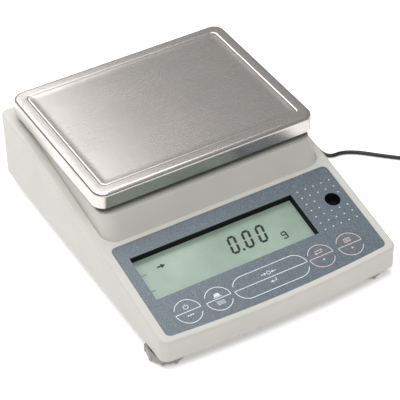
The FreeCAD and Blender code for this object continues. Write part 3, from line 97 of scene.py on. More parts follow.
def add_node(
    tree: bpy.types.NodeTree, kind: str, inputs: dict[str, object] | None = None, **settings: object
) -> bpy.types.Node:
    """Adds a node with its settings, input values and links.

    Args:
        tree: the material's node tree.
        kind: the node's type name.
        inputs: socket names with a value, or with an output socket to link from.
        settings: properties of the node itself.

    Returns:
        The new node.
    """
    made = tree.nodes.new(kind)
    for name, value in settings.items():
        setattr(made, name, value)
    for name, value in (inputs or {}).items():
        if isinstance(value, Socket):
            tree.links.new(value, made.inputs[name])
        else:
            made.inputs[name].default_value = value
    return made


@dataclass(frozen=True)
class Recipe:
    """One material's node tree, its shader and the coordinates that its patterns read."""

    tree: bpy.types.NodeTree
    shader: bpy.types.Node
    place: Socket

    def noise(self, grain_mm: float, layers: float = 2.0) -> Socket:
        """Makes a noise whose features are about as large as the grain.

        Args:
            grain_mm: size of one feature, in millimetres.
            layers: how many finer layers it has.

        Returns:
            The noise's factor output.
        """
        inputs = {"Vector": self.place, "Scale": 1 / (grain_mm * MM), "Detail": layers}
        return add_node(self.tree, "ShaderNodeTexNoise", inputs).outputs["Fac"]

    def blend(self, first: Socket, second: Socket, share: float) -> Socket:
        """Mixes two factors.

        Args:
            first: the factor below.
            second: the factor above.
            share: how much of the second shows.

        Returns:
            The mixed factor.
        """
        inputs = {"Factor": share, "A": first, "B": second}
        return add_node(self.tree, "ShaderNodeMix", inputs, data_type="FLOAT").outputs["Result"]

    def colour(self, factor: Socket, stops: Stops) -> None:
        """Leads a factor through a colour ramp into the shader's colour.

        Args:
            factor: the socket that drives the ramp.
            stops: positions from 0 to 1, each with its hex colour.
        """
        ramp = add_node(self.tree, "ShaderNodeValToRGB", {"Fac": factor})
        elements = ramp.color_ramp.elements
        while len(elements) < len(stops):
            elements.new(0.5)
        for element, (position, colour) in zip(elements, stops):
            element.position = position
            element.color = linear(colour)
        self.tree.links.new(ramp.outputs["Color"], self.shader.inputs["Base Color"])

    def gloss(self, factor: Socket, low: float, high: float) -> None:
        """Lets the roughness follow a factor.

        Args:
            factor: the socket that drives it.
            low: roughness where the factor is low.
            high: roughness where it is high.
        """
        inputs = {"Value": factor, "From Min": 0.3, "From Max": 0.7, "To Min": low, "To Max": high}
        spread = add_node(self.tree, "ShaderNodeMapRange", inputs)
        self.tree.links.new(spread.outputs["Result"], self.shader.inputs["Roughness"])

    def bump(self, height: Socket, depth_mm: float, strength: float) -> None:
        """Leads a height into the shader's normal.

        Args:
            height: relief from 0 to 1.
            depth_mm: real depth of the relief, in millimetres.
            strength: how much of it shows.
        """
        inputs = {"Height": height, "Distance": depth_mm * MM, "Strength": strength}
        relief = add_node(self.tree, "ShaderNodeBump", inputs)
        self.tree.links.new(relief.outputs["Normal"], self.shader.inputs["Normal"])

    def coat(self, weight: float, roughness: float) -> None:
        """Lays a clear coat over the surface."""
        self.shader.inputs["Coat Weight"].default_value = weight
        self.shader.inputs["Coat Roughness"].default_value = roughness


@dataclass(frozen=True)
class Finish:
    """What every finish has: a name, a colour and the shader's uniform values."""

    name: str
    colour: str
    roughness: float = 0.5
    metallic: float = 0.0
    ior: float = 1.5

    def build(self) -> bpy.types.Material:
        """Makes the material once, and finds it again after that.

        Returns:
            The material.
        """
        made = bpy.data.materials.get(self.name)
        if made is not None:
            return made
        made = bpy.data.materials.new(self.name)
        made.use_nodes = True
        made.diffuse_color = linear(self.colour)
        shader = next(n for n in made.node_tree.nodes if n.type == "BSDF_PRINCIPLED")
        shader.inputs["Base Color"].default_value = linear(self.colour)
        shader.inputs["Roughness"].default_value = self.roughness
        shader.inputs["Metallic"].default_value = self.metallic
        shader.inputs["IOR"].default_value = self.ior
        place = add_node(made.node_tree, "ShaderNodeTexCoord").outputs["Object"]
        self.detail(Recipe(made.node_tree, shader, place))
        return made

    def detail(self, recipe: Recipe) -> None:
        """Adds the finish's own pattern; each finish has its own."""
        raise NotImplementedError


@dataclass(frozen=True)
class MouldedPlastic(Finish):
    """ABS from a spark-eroded mould: an even tint, broken up by fine stippling."""

    shade: str = "#FFFFFF"
    grain_mm: float = 0.55
    drift_mm: float = 45.0
    depth_mm: float = 0.05
    spread: float = 0.07

    def detail(self, recipe: Recipe) -> None:
        """Adds stipple to the relief and a faint drift of tint and gloss.

        Args:
            recipe: the material being made.
        """
        # Real stipple is about 0.1 mm; it is drawn coarser so that it shows.
        stipple = recipe.noise(self.grain_mm, 3.0)
        drift = recipe.noise(self.drift_mm, 3.0)
        recipe.colour(recipe.blend(drift, stipple, 0.35), ((0.3, self.shade), (0.7, self.colour)))
        recipe.gloss(stipple, self.roughness - self.spread, self.roughness + self.spread)
        recipe.bump(stipple, self.depth_mm, 0.6)


@dataclass(frozen=True)
class RolledSteel(Finish):
    """Stainless sheet with a fine ground finish: long faint lines, blurred reflections."""

    dark: str = "#8C8885"
    line_mm: float = 0.35
    run: float = 0.012
    wear_mm: float = 38.0
    depth_mm: float = 0.012
    metallic: float = 1.0

    def detail(self, recipe: Recipe) -> None:
        """Adds the grinding lines along X and cloudy wear from use.

        Args:
            recipe: the material being made.
        """
        across = 1 / (self.line_mm * MM)
        stretched = {"Vector": recipe.place, "Scale": (across * self.run, across, across)}
        lines = add_node(recipe.tree, "ShaderNodeMapping", stretched).outputs["Vector"]
        settings = {"Vector": lines, "Scale": 1.0, "Detail": 4.0, "Roughness": 0.6}
        grind = add_node(recipe.tree, "ShaderNodeTexNoise", settings).outputs["Fac"]
        both = recipe.blend(recipe.noise(self.wear_mm, 5.0), grind, 0.45)
        recipe.colour(both, ((0.34, self.dark), (0.62, self.colour)))
        recipe.gloss(both, self.roughness + 0.06, self.roughness - 0.05)
        recipe.bump(grind, self.depth_mm, 0.35)


@dataclass(frozen=True)
class MachinedMetal(Finish):
    """Cast or turned metal with tool marks and a slightly uneven tone."""

    dark: str = "#777777"
    mark_mm: float = 0.8
    tone_mm: float = 9.0
    depth_mm: float = 0.03
    metallic: float = 1.0

    def detail(self, recipe: Recipe) -> None:
        """Adds tool marks and an uneven tone.

        Args:
            recipe: the material being made.
        """
        marks = recipe.noise(self.mark_mm, 4.0)
        both = recipe.blend(recipe.noise(self.tone_mm), marks, 0.5)
        recipe.colour(both, ((0.35, self.dark), (0.65, self.colour)))
        recipe.bump(marks, self.depth_mm, 0.5)


@dataclass(frozen=True)
class PrintedFilm(Finish):
    """Polyester film printed from behind: slate blue with fine specks, under satin gloss."""

    dark: str = "#424D56"
    light: str = "#74808A"
    speck_mm: float = 0.42
    wave_mm: float = 1.1
    depth_mm: float = 0.02

    def detail(self, recipe: Recipe) -> None:
        """Adds light and dark specks, the clear top layer and its slight waviness.

        Args:
            recipe: the material being made.
        """
        settings = {"Vector": recipe.place, "Scale": 1 / (self.speck_mm * MM), "Randomness": 1.0}
        specks = add_node(recipe.tree, "ShaderNodeTexVoronoi", settings).outputs["Color"]
        shade = add_node(recipe.tree, "ShaderNodeSeparateColor", {"Color": specks}).outputs["Red"]
        even = self.colour
        recipe.colour(shade, ((0.0, self.dark), (0.3, even), (0.74, even), (1.0, self.light)))
        recipe.coat(0.6, 0.32)
        recipe.bump(recipe.noise(self.wave_mm), self.depth_mm, 0.35)


@dataclass(frozen=True)
class DisplayGlass(Finish):
    """Reflective liquid-crystal cell: flat grey-green behind a polariser, with a faint cloud."""

    edge: str = "#7E9284"
    cloud_mm: float = 30.0
    grain_mm: float = 0.5

    def detail(self, recipe: Recipe) -> None:
        """Adds the polariser's grain, the cell's faint cloud and the glass on top.

        Args:
            recipe: the material being made.
        """
        both = recipe.blend(recipe.noise(self.cloud_mm), recipe.noise(self.grain_mm, 1.0), 0.3)
        recipe.colour(both, ((0.3, self.edge), (0.7, self.colour)))
        recipe.coat(0.35, 0.15)


@dataclass(frozen=True)
class ClearLiquid(Finish):
    """Acrylic vial filled with tinted spirit: clear, its tint broken by a darker cloud."""

    # Darker tone of the tint's cloud; in the vial it is part of the painted shade.
    depth: str = "#23263A"
    cloud_mm: float = 4.0

    def detail(self, recipe: Recipe) -> None:
        """Makes it see-through, with a slight unevenness in the tint.

        Args:
            recipe: the material being made.
        """
        cloud = recipe.noise(self.cloud_mm, 1.0)
        recipe.colour(cloud, ((0.3, self.colour), (0.7, self.depth)))
        recipe.shader.inputs["Transmission Weight"].default_value = 0.85


@dataclass(frozen=True)
class PolishedBlack(Finish):
    """Dark moulded plastic or rubber: a faint bloom and a fine skin in soft gloss."""

    bloom: str = "#1C1C1D"
    bloom_mm: float = 7.0
    grain_mm: float = 0.4
    depth_mm: float = 0.02

    def detail(self, recipe: Recipe) -> None:
        """Adds the bloom and the skin.

        Args:
            recipe: the material being made.
        """
        cloud = recipe.noise(self.bloom_mm, 4.0)
        recipe.colour(cloud, ((0.35, self.colour), (0.72, self.bloom)))
        recipe.bump(recipe.noise(self.grain_mm, 3.0), self.depth_mm, 0.5)


@dataclass(frozen=True)
class CircuitBoard(Finish):
    """Glass-epoxy board under green resist: tracks show as slightly lighter lines."""

    second: str = "#12492A"
    track: str = "#3B8A55"
    track_mm: float = 0.2
    cell_mm: tuple[float, float] = (9.0, 1.3)
    depth_mm: float = 0.02

    def detail(self, recipe: Recipe) -> None:
        """Adds the tracks under the resist.

        Args:
            recipe: the material being made.
        """
        settings = {
            "Vector": recipe.place,
            "Color1": linear(self.colour),
            "Color2": linear(self.second),
            "Mortar": linear(self.track),
            "Scale": 1.0,
            "Mortar Size": self.track_mm * MM,
            "Brick Width": self.cell_mm[0] * MM,
            "Row Height": self.cell_mm[1] * MM,
        }
        tracks = add_node(recipe.tree, "ShaderNodeTexBrick", settings)
        recipe.tree.links.new(tracks.outputs["Color"], recipe.shader.inputs["Base Color"])
        recipe.bump(tracks.outputs["Fac"], self.depth_mm, 0.4)


@dataclass(frozen=True)
class Winding(Finish):
    """Varnished wire: fine rings side by side up the coil's height."""

    gap: str = "#5A2A16"
    turn_mm: float = 0.3
    depth_mm: float = 0.1

    def detail(self, recipe: Recipe) -> None:
        """Adds the turns.

        Args:
            recipe: the material being made.
        """
        scale = 1 / (self.turn_mm * MM * 2 * math.pi)
        settings = {"Vector": recipe.place, "Scale": scale, "Distortion": 0.2}
        turns = add_node(recipe.tree, "ShaderNodeTexWave", settings, bands_direction="Z")
        recipe.colour(turns.outputs["Fac"], ((0.1, self.gap), (0.6, self.colour)))
        recipe.bump(turns.outputs["Fac"], self.depth_mm, 0.8)


@dataclass(frozen=True)
class Ink(Finish):
    """Screen-printed ink or the dark segments of a display: flat, with slightly uneven cover."""

    thin: str = "#CCCCCC"
    cover_mm: float = 0.8

    def detail(self, recipe: Recipe) -> None:
        """Lets the cover vary a little."""
        cover = recipe.noise(self.cover_mm)
        recipe.colour(cover, ((0.3, self.thin), (0.6, self.colour)))


class Look(Enum):
    """The finishes of this balance."""

    CASE = MouldedPlastic("textured ABS, light warm grey", "#C6C4BD", 0.5, shade="#BCBAB3")
    UNDERSIDE = MouldedPlastic("textured ABS, mid grey", "#8E8D89", 0.55, shade="#7F7E7A")
    FOOT = MouldedPlastic("moulded nylon, grey", "#A09E99", 0.45, shade="#86847F", grain_mm=0.9)
    FILM = PrintedFilm("printed polyester film, slate blue", "#55616A", 0.42)
    GLASS = DisplayGlass("reflective liquid-crystal cell", "#9DB0A2", 0.3)
    # The vial's dark blue-black is painted shade, for the shadow down in the level's hole.
    VIAL = ClearLiquid("spirit-filled acrylic vial", "#3A3F55", 0.08, ior=1.42)
    # The bubble's pale lilac-white is a painted highlight: air in spirit has no colour of its own and
    # looks bright only where it reflects light.
    BUBBLE = ClearLiquid("air bubble in spirit", "#D5D6E8", 0.05, ior=1.1)
    BEZEL = PolishedBlack("matt black ABS", "#070608", 0.75, ior=1.35, bloom="#0B0A0C")
    SOCKET = PolishedBlack("glass-filled nylon, black", "#101113", 0.48)
    HOUSING_BLACK = PolishedBlack(
        "moulded polycarbonate, black", "#0D0D0F", 0.42, grain_mm=0.6, depth_mm=0.05
    )
    LEAD = PolishedBlack("PVC sheath, black", "#0A0A0B", 0.38, bloom="#161617")
    RUBBER = PolishedBlack("moulded rubber, dark grey", "#1B1B1C", 0.75, bloom="#2A2A2A")
    PAN = RolledSteel("ground stainless steel sheet", "#D2CDC9", 0.25, dark="#BBB6B2")
    CASTING = MachinedMetal("die-cast aluminium", "#B9BABC", 0.42, dark="#8F9093")
    PLATED = MachinedMetal("zinc-plated steel", "#A9ABB0", 0.3, dark="#85878C", mark_mm=0.4)
    BRASS = MachinedMetal("turned brass", "#C9A558", 0.3, dark="#A58340", mark_mm=0.3)
    YOKE = MachinedMetal("soft iron, phosphated", "#4A4B4F", 0.5, dark="#333438")
    MAGNET = MachinedMetal("nickel-plated magnet", "#A6A7AA", 0.22, dark="#8C8E92")
    COPPER = Winding("varnished copper wire", "#B4683A", 0.35, 0.6)
    BOARD = CircuitBoard("glass-epoxy board, green resist", "#0F3D22", 0.35)
    WHITE_INK = Ink("white screen ink", "#DCE3E4", 0.5, thin="#BFC8CC")
    PINK_INK = Ink("pale pink screen ink", "#DDBFBF", 0.5, thin="#C3A5A8")
    SEGMENT = Ink("liquid-crystal segment, dark", "#0B1210", 0.4, thin="#121A16")


# ------------ shaping by operators


class Part(Enum):
    """What select() picks in edit mode."""

    VERTICES = "verts"
    FACES = "faces"


def deselect() -> None:
    """Leaves nothing selected, so that an operator acts on the new piece alone."""
    if bpy.context.object and bpy.context.object.mode != "OBJECT":
        bpy.ops.object.mode_set(mode="OBJECT")
    bpy.ops.object.select_all(action="DESELECT")


def choose(obj: Piece) -> None:
    """Makes one piece the active and only selected one.

    Args:
        obj: the piece.
    """
    deselect()
    bpy.context.view_layer.objects.active = obj
    obj.select_set(True)


def edit(obj: Piece) -> None:
    """Opens one piece in edit mode, with all of it selected.

    Args:
        obj: the piece.
    """
    choose(obj)
    bpy.ops.object.mode_set(mode="EDIT")
    bpy.ops.mesh.select_all(action="SELECT")


def leave() -> None:
    """Closes edit mode."""
    bpy.ops.object.mode_set(mode="OBJECT")


def shift(obj: Piece, by: Sequence[float]) -> None:
    """Moves a piece within its own mesh.

    Args:
        obj: the piece.
        by: the move, in metres.
    """
    edit(obj)
    bpy.ops.transform.translate(value=by)
    leave()


def middle_of(element: bmesh.types.BMVert | bmesh.types.BMFace) -> Vector:
    """Finds the middle of a vertex or a face.

    Args:
        element: the vertex or face.

    Returns:
        Its middle.
    """
    if isinstance(element, bmesh.types.BMVert):
        return element.co
    return sum((v.co for v in element.verts), Vector()) / len(element.verts)


def select(obj: Piece, part: Part, wanted: Callable[[Vector, Vector], bool]) -> None:
    """Selects elements of the piece in edit mode by their place and normal.

    Args:
        obj: the piece in edit mode.
        part: vertices or faces.
        wanted: takes an element's middle and its normal, and says whether it is picked.
    """
    mesh = bmesh.from_edit_mesh(obj.data)
    mesh.select_mode = {"FACE"} if part is Part.FACES else {"VERT"}
    for group in (mesh.verts, mesh.edges, mesh.faces):
        for element in group:
            element.select = False
    for element in getattr(mesh, part.value):
        if wanted(middle_of(element), element.normal):
            element.select = True
    mesh.select_flush_mode()
    bmesh.update_edit_mesh(obj.data)


def settle(name: str) -> Piece:
    """Names the object that an operator has just made, and puts its place into its mesh.

    Args:
        name: the piece's name.

    Returns:
        The piece.
    """
    bpy.ops.object.transform_apply(location=True, rotation=True, scale=True)
    made = bpy.context.object
    made.name = made.data.name = name
    return made


def patch(name: str, centre: Sequence[float], width: float, height: float) -> Piece:
    """Starts a flat piece from a plane, facing up.

    Args:
        name: the piece's name.
        centre: its middle, in metres.
        width: its size along X, in metres.
        height: its size along Y, in metres.

    Returns:
        The piece.
    """
    deselect()
    bpy.ops.mesh.primitive_plane_add(size=1, location=(centre[0], centre[1], 0))
    bpy.ops.transform.resize(value=(width, height, 1))
    return settle(name)


def triangle(name: str, centre: Sequence[float], radius: float, turn_deg: float) -> Piece:
    """Starts a flat triangle from a three-cornered circle.

    Args:
        name: the piece's name.
        centre: its middle, in metres.
        radius: from the middle to a corner, in metres.
        turn_deg: how far it is turned from pointing up, in degrees.

    Returns:
        The piece.
    """
    deselect()
    bpy.ops.mesh.primitive_circle_add(
        vertices=3,
        radius=radius,
        fill_type="NGON",
        location=(centre[0], centre[1], 0),
        rotation=(0, 0, math.radians(turn_deg)),
    )
    return settle(name)


def ring(
    name: str, centre: Sequence[float], radius: float, line: float, corners: int = 72
) -> Piece:
    """Starts a flat ring from a filled circle: its face is inset and the middle taken out.

    Args:
        name: the piece's name.
        centre: middle of the ring, in metres.
        radius: outer radius, in metres.
        line: width of the ring, in metres, or the radius for a full disc.
        corners: how many corners the circle has.

    Returns:
        The piece.
    """
    deselect()
    bpy.ops.mesh.primitive_circle_add(
        vertices=corners, radius=radius, fill_type="NGON", location=(centre[0], centre[1], 0)
    )
    made = settle(name)
    if line < radius:
        edit(made)
        bpy.ops.mesh.inset(thickness=line)
        bpy.ops.mesh.delete(type="FACE")
        leave()
    return made


def join(name: str, pieces: Sequence[Piece]) -> Piece:
    """Joins several meshes into one piece.

    Args:
        name: the joined piece's name.
        pieces: the meshes, each with its place in its mesh.

    Returns:
        The joined piece.
    """
    deselect()
    for piece in pieces:
        piece.select_set(True)
    bpy.context.view_layer.objects.active = pieces[0]
    bpy.ops.object.join()
    return settle(name)


def thicken(obj: Piece, thickness: float, offset: float) -> None:
    """Gives a thin piece its wall with an applied Solidify modifier.

    Args:
        obj: the piece.
        thickness: of the wall, in metres.
        offset: 1 to grow outwards, -1 to grow inwards.
    """
    choose(obj)
    wall = obj.modifiers.new("Wall", "SOLIDIFY")
    wall.thickness = thickness
    wall.offset = offset
    bpy.ops.object.modifier_apply(modifier=wall.name)


def smooth(obj: Piece, angle_deg: float) -> None:
    """Shades a piece smooth, but not across edges sharper than the angle."""
    choose(obj)
    bpy.ops.object.shade_smooth_by_angle(angle=math.radians(angle_deg))


def wear(obj: Piece, look: Look, body: str) -> None:
    """Gives a finished piece its material and its body, and notes both in the log.

    Args:
        obj: the finished piece.
        look: its finish.
        body: the CAD body that it moves with.
    """
    obj.data.materials.clear()
    obj.data.materials.append(look.value.build())
    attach(obj, body)
    LOG.info("%s rides on %s, finished in %s", obj.name, body, look.value.name)


# ------------ the panel's plane


@dataclass(frozen=True)
class PanelPlane:
    """The sloping plane of the control panel: x to the right, v up the slope, w out of it."""

    origin: Vector
    angle: float
    back_off_mm: float = 4.4

    @classmethod
    def from_frame(cls) -> "PanelPlane":
        """Finds the plane from the way a key moves and from the film's box.

        Returns:
            The plane of the film's upper face.
        """
        press = next(j for j in frame["joints"] if j["name"] == "power_press")
        angle = math.atan2(press["axis"][1], -press["axis"][2])
        low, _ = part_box("control_panel_film")
        return cls(Vector((0, low.y, low.z + FILM_THICKNESS * math.cos(angle))), angle)

    def matrix(self, lift_mm: float = 0.0) -> Matrix:
        """Takes a flat drawing to the panel.

        Args:
            lift_mm: how far above the film's face, in millimetres.

        Returns:
            The matrix from the drawing's metres to the frame.
        """
        turn = Matrix.Rotation(self.angle, 4, "X")
        start = turn @ Matrix.Translation((0, -self.back_off_mm * MM, lift_mm * MM))
        return Matrix.Translation(self.origin) @ start

    def lay(self, obj: Piece, lift_mm: float, thick_mm: float = 0.03) -> None:
        """Gives a flat drawing some thickness and lays it on the panel.

        Args:
            obj: a flat piece drawn in x and v, in metres.
            lift_mm: its underside above the film, in millimetres.
            thick_mm: its thickness, in millimetres.
        """
        thicken(obj, thick_mm * MM, 1.0)
        obj.matrix_world = self.matrix(lift_mm)
        choose(obj)
        bpy.ops.object.transform_apply(location=True, rotation=True, scale=True)


# ------------ camera, light, floor


@dataclass(frozen=True)
class Softbox:
    """A rectangular lamp that faces straight down."""

    name: str
    place: tuple[float, float, float]
    sides: tuple[float, float]
    watts: float

    def build(self) -> None:
        """Hangs the lamp in its place."""
        data = bpy.data.lights.new(self.name, "AREA")
        data.shape = "RECTANGLE"
        data.size, data.size_y = self.sides
        data.energy = self.watts
        made = bpy.data.objects.new(self.name, data)
        bpy.context.collection.objects.link(made)
        made.location = self.place


@dataclass
class Studio:
    """Camera, soft lights and a plain pale floor."""

    eye: tuple[float, float, float] = (-0.43030, -0.75991, 0.76029)
    aim: tuple[float, float, float] = (-0.0124, -0.0286, 0.0485)
    roll_deg: float = -1.0837
    focal_mm: float = 156.48
    sensor_mm: float = 36.0
    floor_size: float = 6.0
    floor_glow: float = 0.3
    sky_strength: float = 0.33
    lamps: tuple[Softbox, ...] = (
        Softbox("rear softbox", (-0.235, 0.72, 0.95), (1.2, 1.3), 14),
        Softbox("front softbox", (-0.35, -0.6, 1.5), (1.2, 0.9), 15),
    )

    def camera(self) -> None:
        """Places the camera and makes it the scene's own."""
        data = bpy.data.cameras.new("camera")
        data.lens = self.focal_mm
        data.sensor_width = self.sensor_mm
        data.clip_start, data.clip_end = 0.05, 20
        made = bpy.data.objects.new("camera", data)
        bpy.context.collection.objects.link(made)
        look = Vector(self.aim) - Vector(self.eye)
        roll = Matrix.Rotation(math.radians(self.roll_deg), 3, "Z")
        turn = look.to_track_quat("-Z", "Y").to_matrix() @ roll
        made.matrix_world = Matrix.Translation(self.eye) @ turn.to_4x4()
        bpy.context.scene.camera = made

    def floor(self) -> None:
        """Lays white paper that glows a little, so that shadows stay faint."""
        deselect()
        bpy.ops.mesh.primitive_plane_add(size=self.floor_size, location=(0, 0, -0.0001))
        made = settle("floor")
        material = bpy.data.materials.new("white studio paper")
        material.use_nodes = True
        shader = next(n for n in material.node_tree.nodes if n.type == "BSDF_PRINCIPLED")
        shader.inputs["Base Color"].default_value = linear("#FBFBFB")
        shader.inputs["Roughness"].default_value = 0.9
        shader.inputs["Emission Color"].default_value = linear("#FFFFFF")
        shader.inputs["Emission Strength"].default_value = self.floor_glow
        made.data.materials.append(material)
        made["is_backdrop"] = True

    def build(self) -> None:
        """Sets the whole studio up."""
        self.camera()
        self.floor()
        for lamp in self.lamps:
            lamp.build()
        world = bpy.data.worlds.new("studio")
        world.use_nodes = True
        sky = next(n for n in world.node_tree.nodes if n.type == "BACKGROUND")
        sky.inputs["Color"].default_value = linear("#FFFFFF")
        sky.inputs["Strength"].default_value = self.sky_strength
        bpy.context.scene.world = world
        bpy.context.scene.view_settings.view_transform = "Standard"
        LOG.info("studio is set up")


# ------------ power lead


@dataclass
class PowerLead:
    """Thin black lead: out of the plug, down to the bench, round to a tied coil and the adapter."""

    diameter: float = 2.8 * MM
    coil_middle: float = 17 * MM
    rows: int = 3
    layers: int = 4
    points_per_turn: int = 16
    fittings: tuple[str, ...] = ("dc_plug", "plug_relief", "coil_tie")
    adapter: tuple[str, ...] = ("adapter_relief", "adapter_housing", "adapter_pins")
    # From the plug's boot down to the bench and forward past the case, to the coil.
    route_mm: Rows = (
        *((58, 145.9, 22.1), (58, 155.9, 22.1), (60, 167.9, 16.1), (65, 176.9, 6.6)),
        *((75, 182.9, 1.4), (89, 182.9, 1.4), (101, 173.9, 1.4), (109, 157.9, 1.4)),
        *((113, 136.9, 1.4), (113.2, 113, 1.4), (111, 89, 1.4), (110.4, 67, 1.4)),
        *((112.2, 47, 1.4), (113.5, 31, 1.4), (113.5, 12.6, 1.4), (129.5, 12.9, 1.4)),
        *((151, -8.6, 1.4), (167.1, -22.5, 1.4), (178.4, -36, 1.4)),
    )

    def coil_turns(self, centre: Vector, start: float) -> list[Vector]:
        """Points of the wound turns, layer by layer, from the outer turn on the bench.

        Args:
            centre: middle of the coil on the bench.
            start: angle at which the lead meets it, in radians.

        Returns:
            The points, ending on the outer turn of the top layer.
        """
        slots = []
        for layer in range(self.layers):
            rows = range(self.rows) if layer % 2 else reversed(range(self.rows))
            slots += [(row, layer) for row in rows]
        points = []
        angle = start
        # The lead runs level for this share of a turn, then climbs or shifts to the next slot.
        settled = 0.7 * self.points_per_turn
        for (row, layer), after in zip(slots, [*slots[1:], slots[-1]]):
            for count in range(self.points_per_turn):
                share = max(0.0, (count - settled) / (self.points_per_turn - settled))
                shifted = row + (after[0] - row) * share
                level = layer + (after[1] - layer) * share
                radius = self.coil_middle + (shifted - (self.rows - 1) / 2) * self.diameter
                place = Vector((math.cos(angle), math.sin(angle), 0)) * radius
                points.append(centre + place + Vector((0, 0, (level + 0.5) * self.diameter)))
                angle += 2 * math.pi / self.points_per_turn
        return points

    def arc_to_tail(self, centre: Vector, reach: float, last: Vector, level: float) -> list[Vector]:
        """Points along the outer turn from the last wound turn to where the tail leaves.

        Args:
            centre: middle of the coil on the bench.
            reach: radius of the outer turn, in metres.
            last: last point of the wound turns.
            level: height of the top layer, in metres.

        Returns:
            The points between the two.
        """
        start = math.atan2(last.y - centre.y, last.x - centre.x)
        end = -math.pi / 2
        while end <= start + 0.3:
            end += 2 * math.pi
        steps = max(1, round((end - start) / (2 * math.pi / self.points_per_turn)))
        places = [start + (end - start) * count / steps for count in range(1, steps)]
        return [centre + Vector((math.cos(a) * reach, math.sin(a) * reach, level)) for a in places]

    def line(self) -> list[Vector]:
        """Gathers the lead's points from the plug to the adapter.

        Returns:
            The points, in metres.
        """
        route = [Vector(point) * MM for point in self.route_mm]
        run = route[-1] - route[-2]
        left = Vector((-run.y, run.x, 0)).normalized()
        reach = self.coil_middle + (self.rows - 1) / 2 * self.diameter
        centre = route[-1] + left * reach
        centre.z = 0
        start = math.atan2(-left.y, -left.x) + 2 * math.pi / self.points_per_turn
        turns = self.coil_turns(centre, start)
        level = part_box("lead_tail")[1].z - self.diameter / 2
        relief_low, relief_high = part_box("adapter_relief")
        end = (relief_low + relief_high) / 2
        bottom = centre.y - reach
        tail = [
            Vector((centre.x, bottom, level)),
            Vector((centre.x + 13 * MM, bottom, level - 1.5 * MM)),
            Vector((centre.x + 25 * MM, bottom - 4 * MM, 3 * MM)),
            Vector((centre.x + 33 * MM, bottom - 13 * MM, 2.6 * MM)),
            Vector((end.x, bottom - 26 * MM, end.z)),
            Vector((end.x, relief_high.y, end.z)),
        ]
        # The last turn runs on to the coil's near side, where the tail leaves.
        return route + turns + self.arc_to_tail(centre, reach, turns[-1], level) + tail

    def length_of(self, lead: Piece) -> float:
        """Measures the curve's own line.

        Args:
            lead: the lead's curve.

        Returns:
            Its length, in metres.
        """
        bare = lead.data.copy()
        bare.bevel_depth = 0
        holder = bpy.data.objects.new("measure", bare)
        mesh = bpy.data.meshes.new_from_object(holder)
        places = [vertex.co for vertex in mesh.vertices]
        ends = [edge.vertices for edge in mesh.edges]
        total = sum((places[start] - places[end]).length for start, end in ends)
        bpy.data.meshes.remove(mesh)
        bpy.data.objects.remove(holder)
        bpy.data.curves.remove(bare)
        return total

    def build(self) -> None:
        points = self.line()
        data = bpy.data.curves.new("power_lead_curve", "CURVE")
        data.dimensions = "3D"
        spline = data.splines.new("NURBS")
        spline.points.add(len(points) - 1)
        for point, place in zip(spline.points, points):
            point.co = (*place, 1)
        spline.order_u = 3
        spline.use_endpoint_u = True
        data.bevel_depth = self.diameter / 2
        data.bevel_resolution = 5
        data.resolution_u = 6
        data.use_fill_caps = True
        lead = bpy.data.objects.new("power_lead_smooth", data)
        bpy.context.collection.objects.link(lead)
        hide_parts("power_lead", "lead_coil", "lead_tail")
        wear(lead, Look.LEAD, "case")
        length = self.length_of(lead)
        LOG.info("the lead is %.3f m long", length)


# ------------ control panel


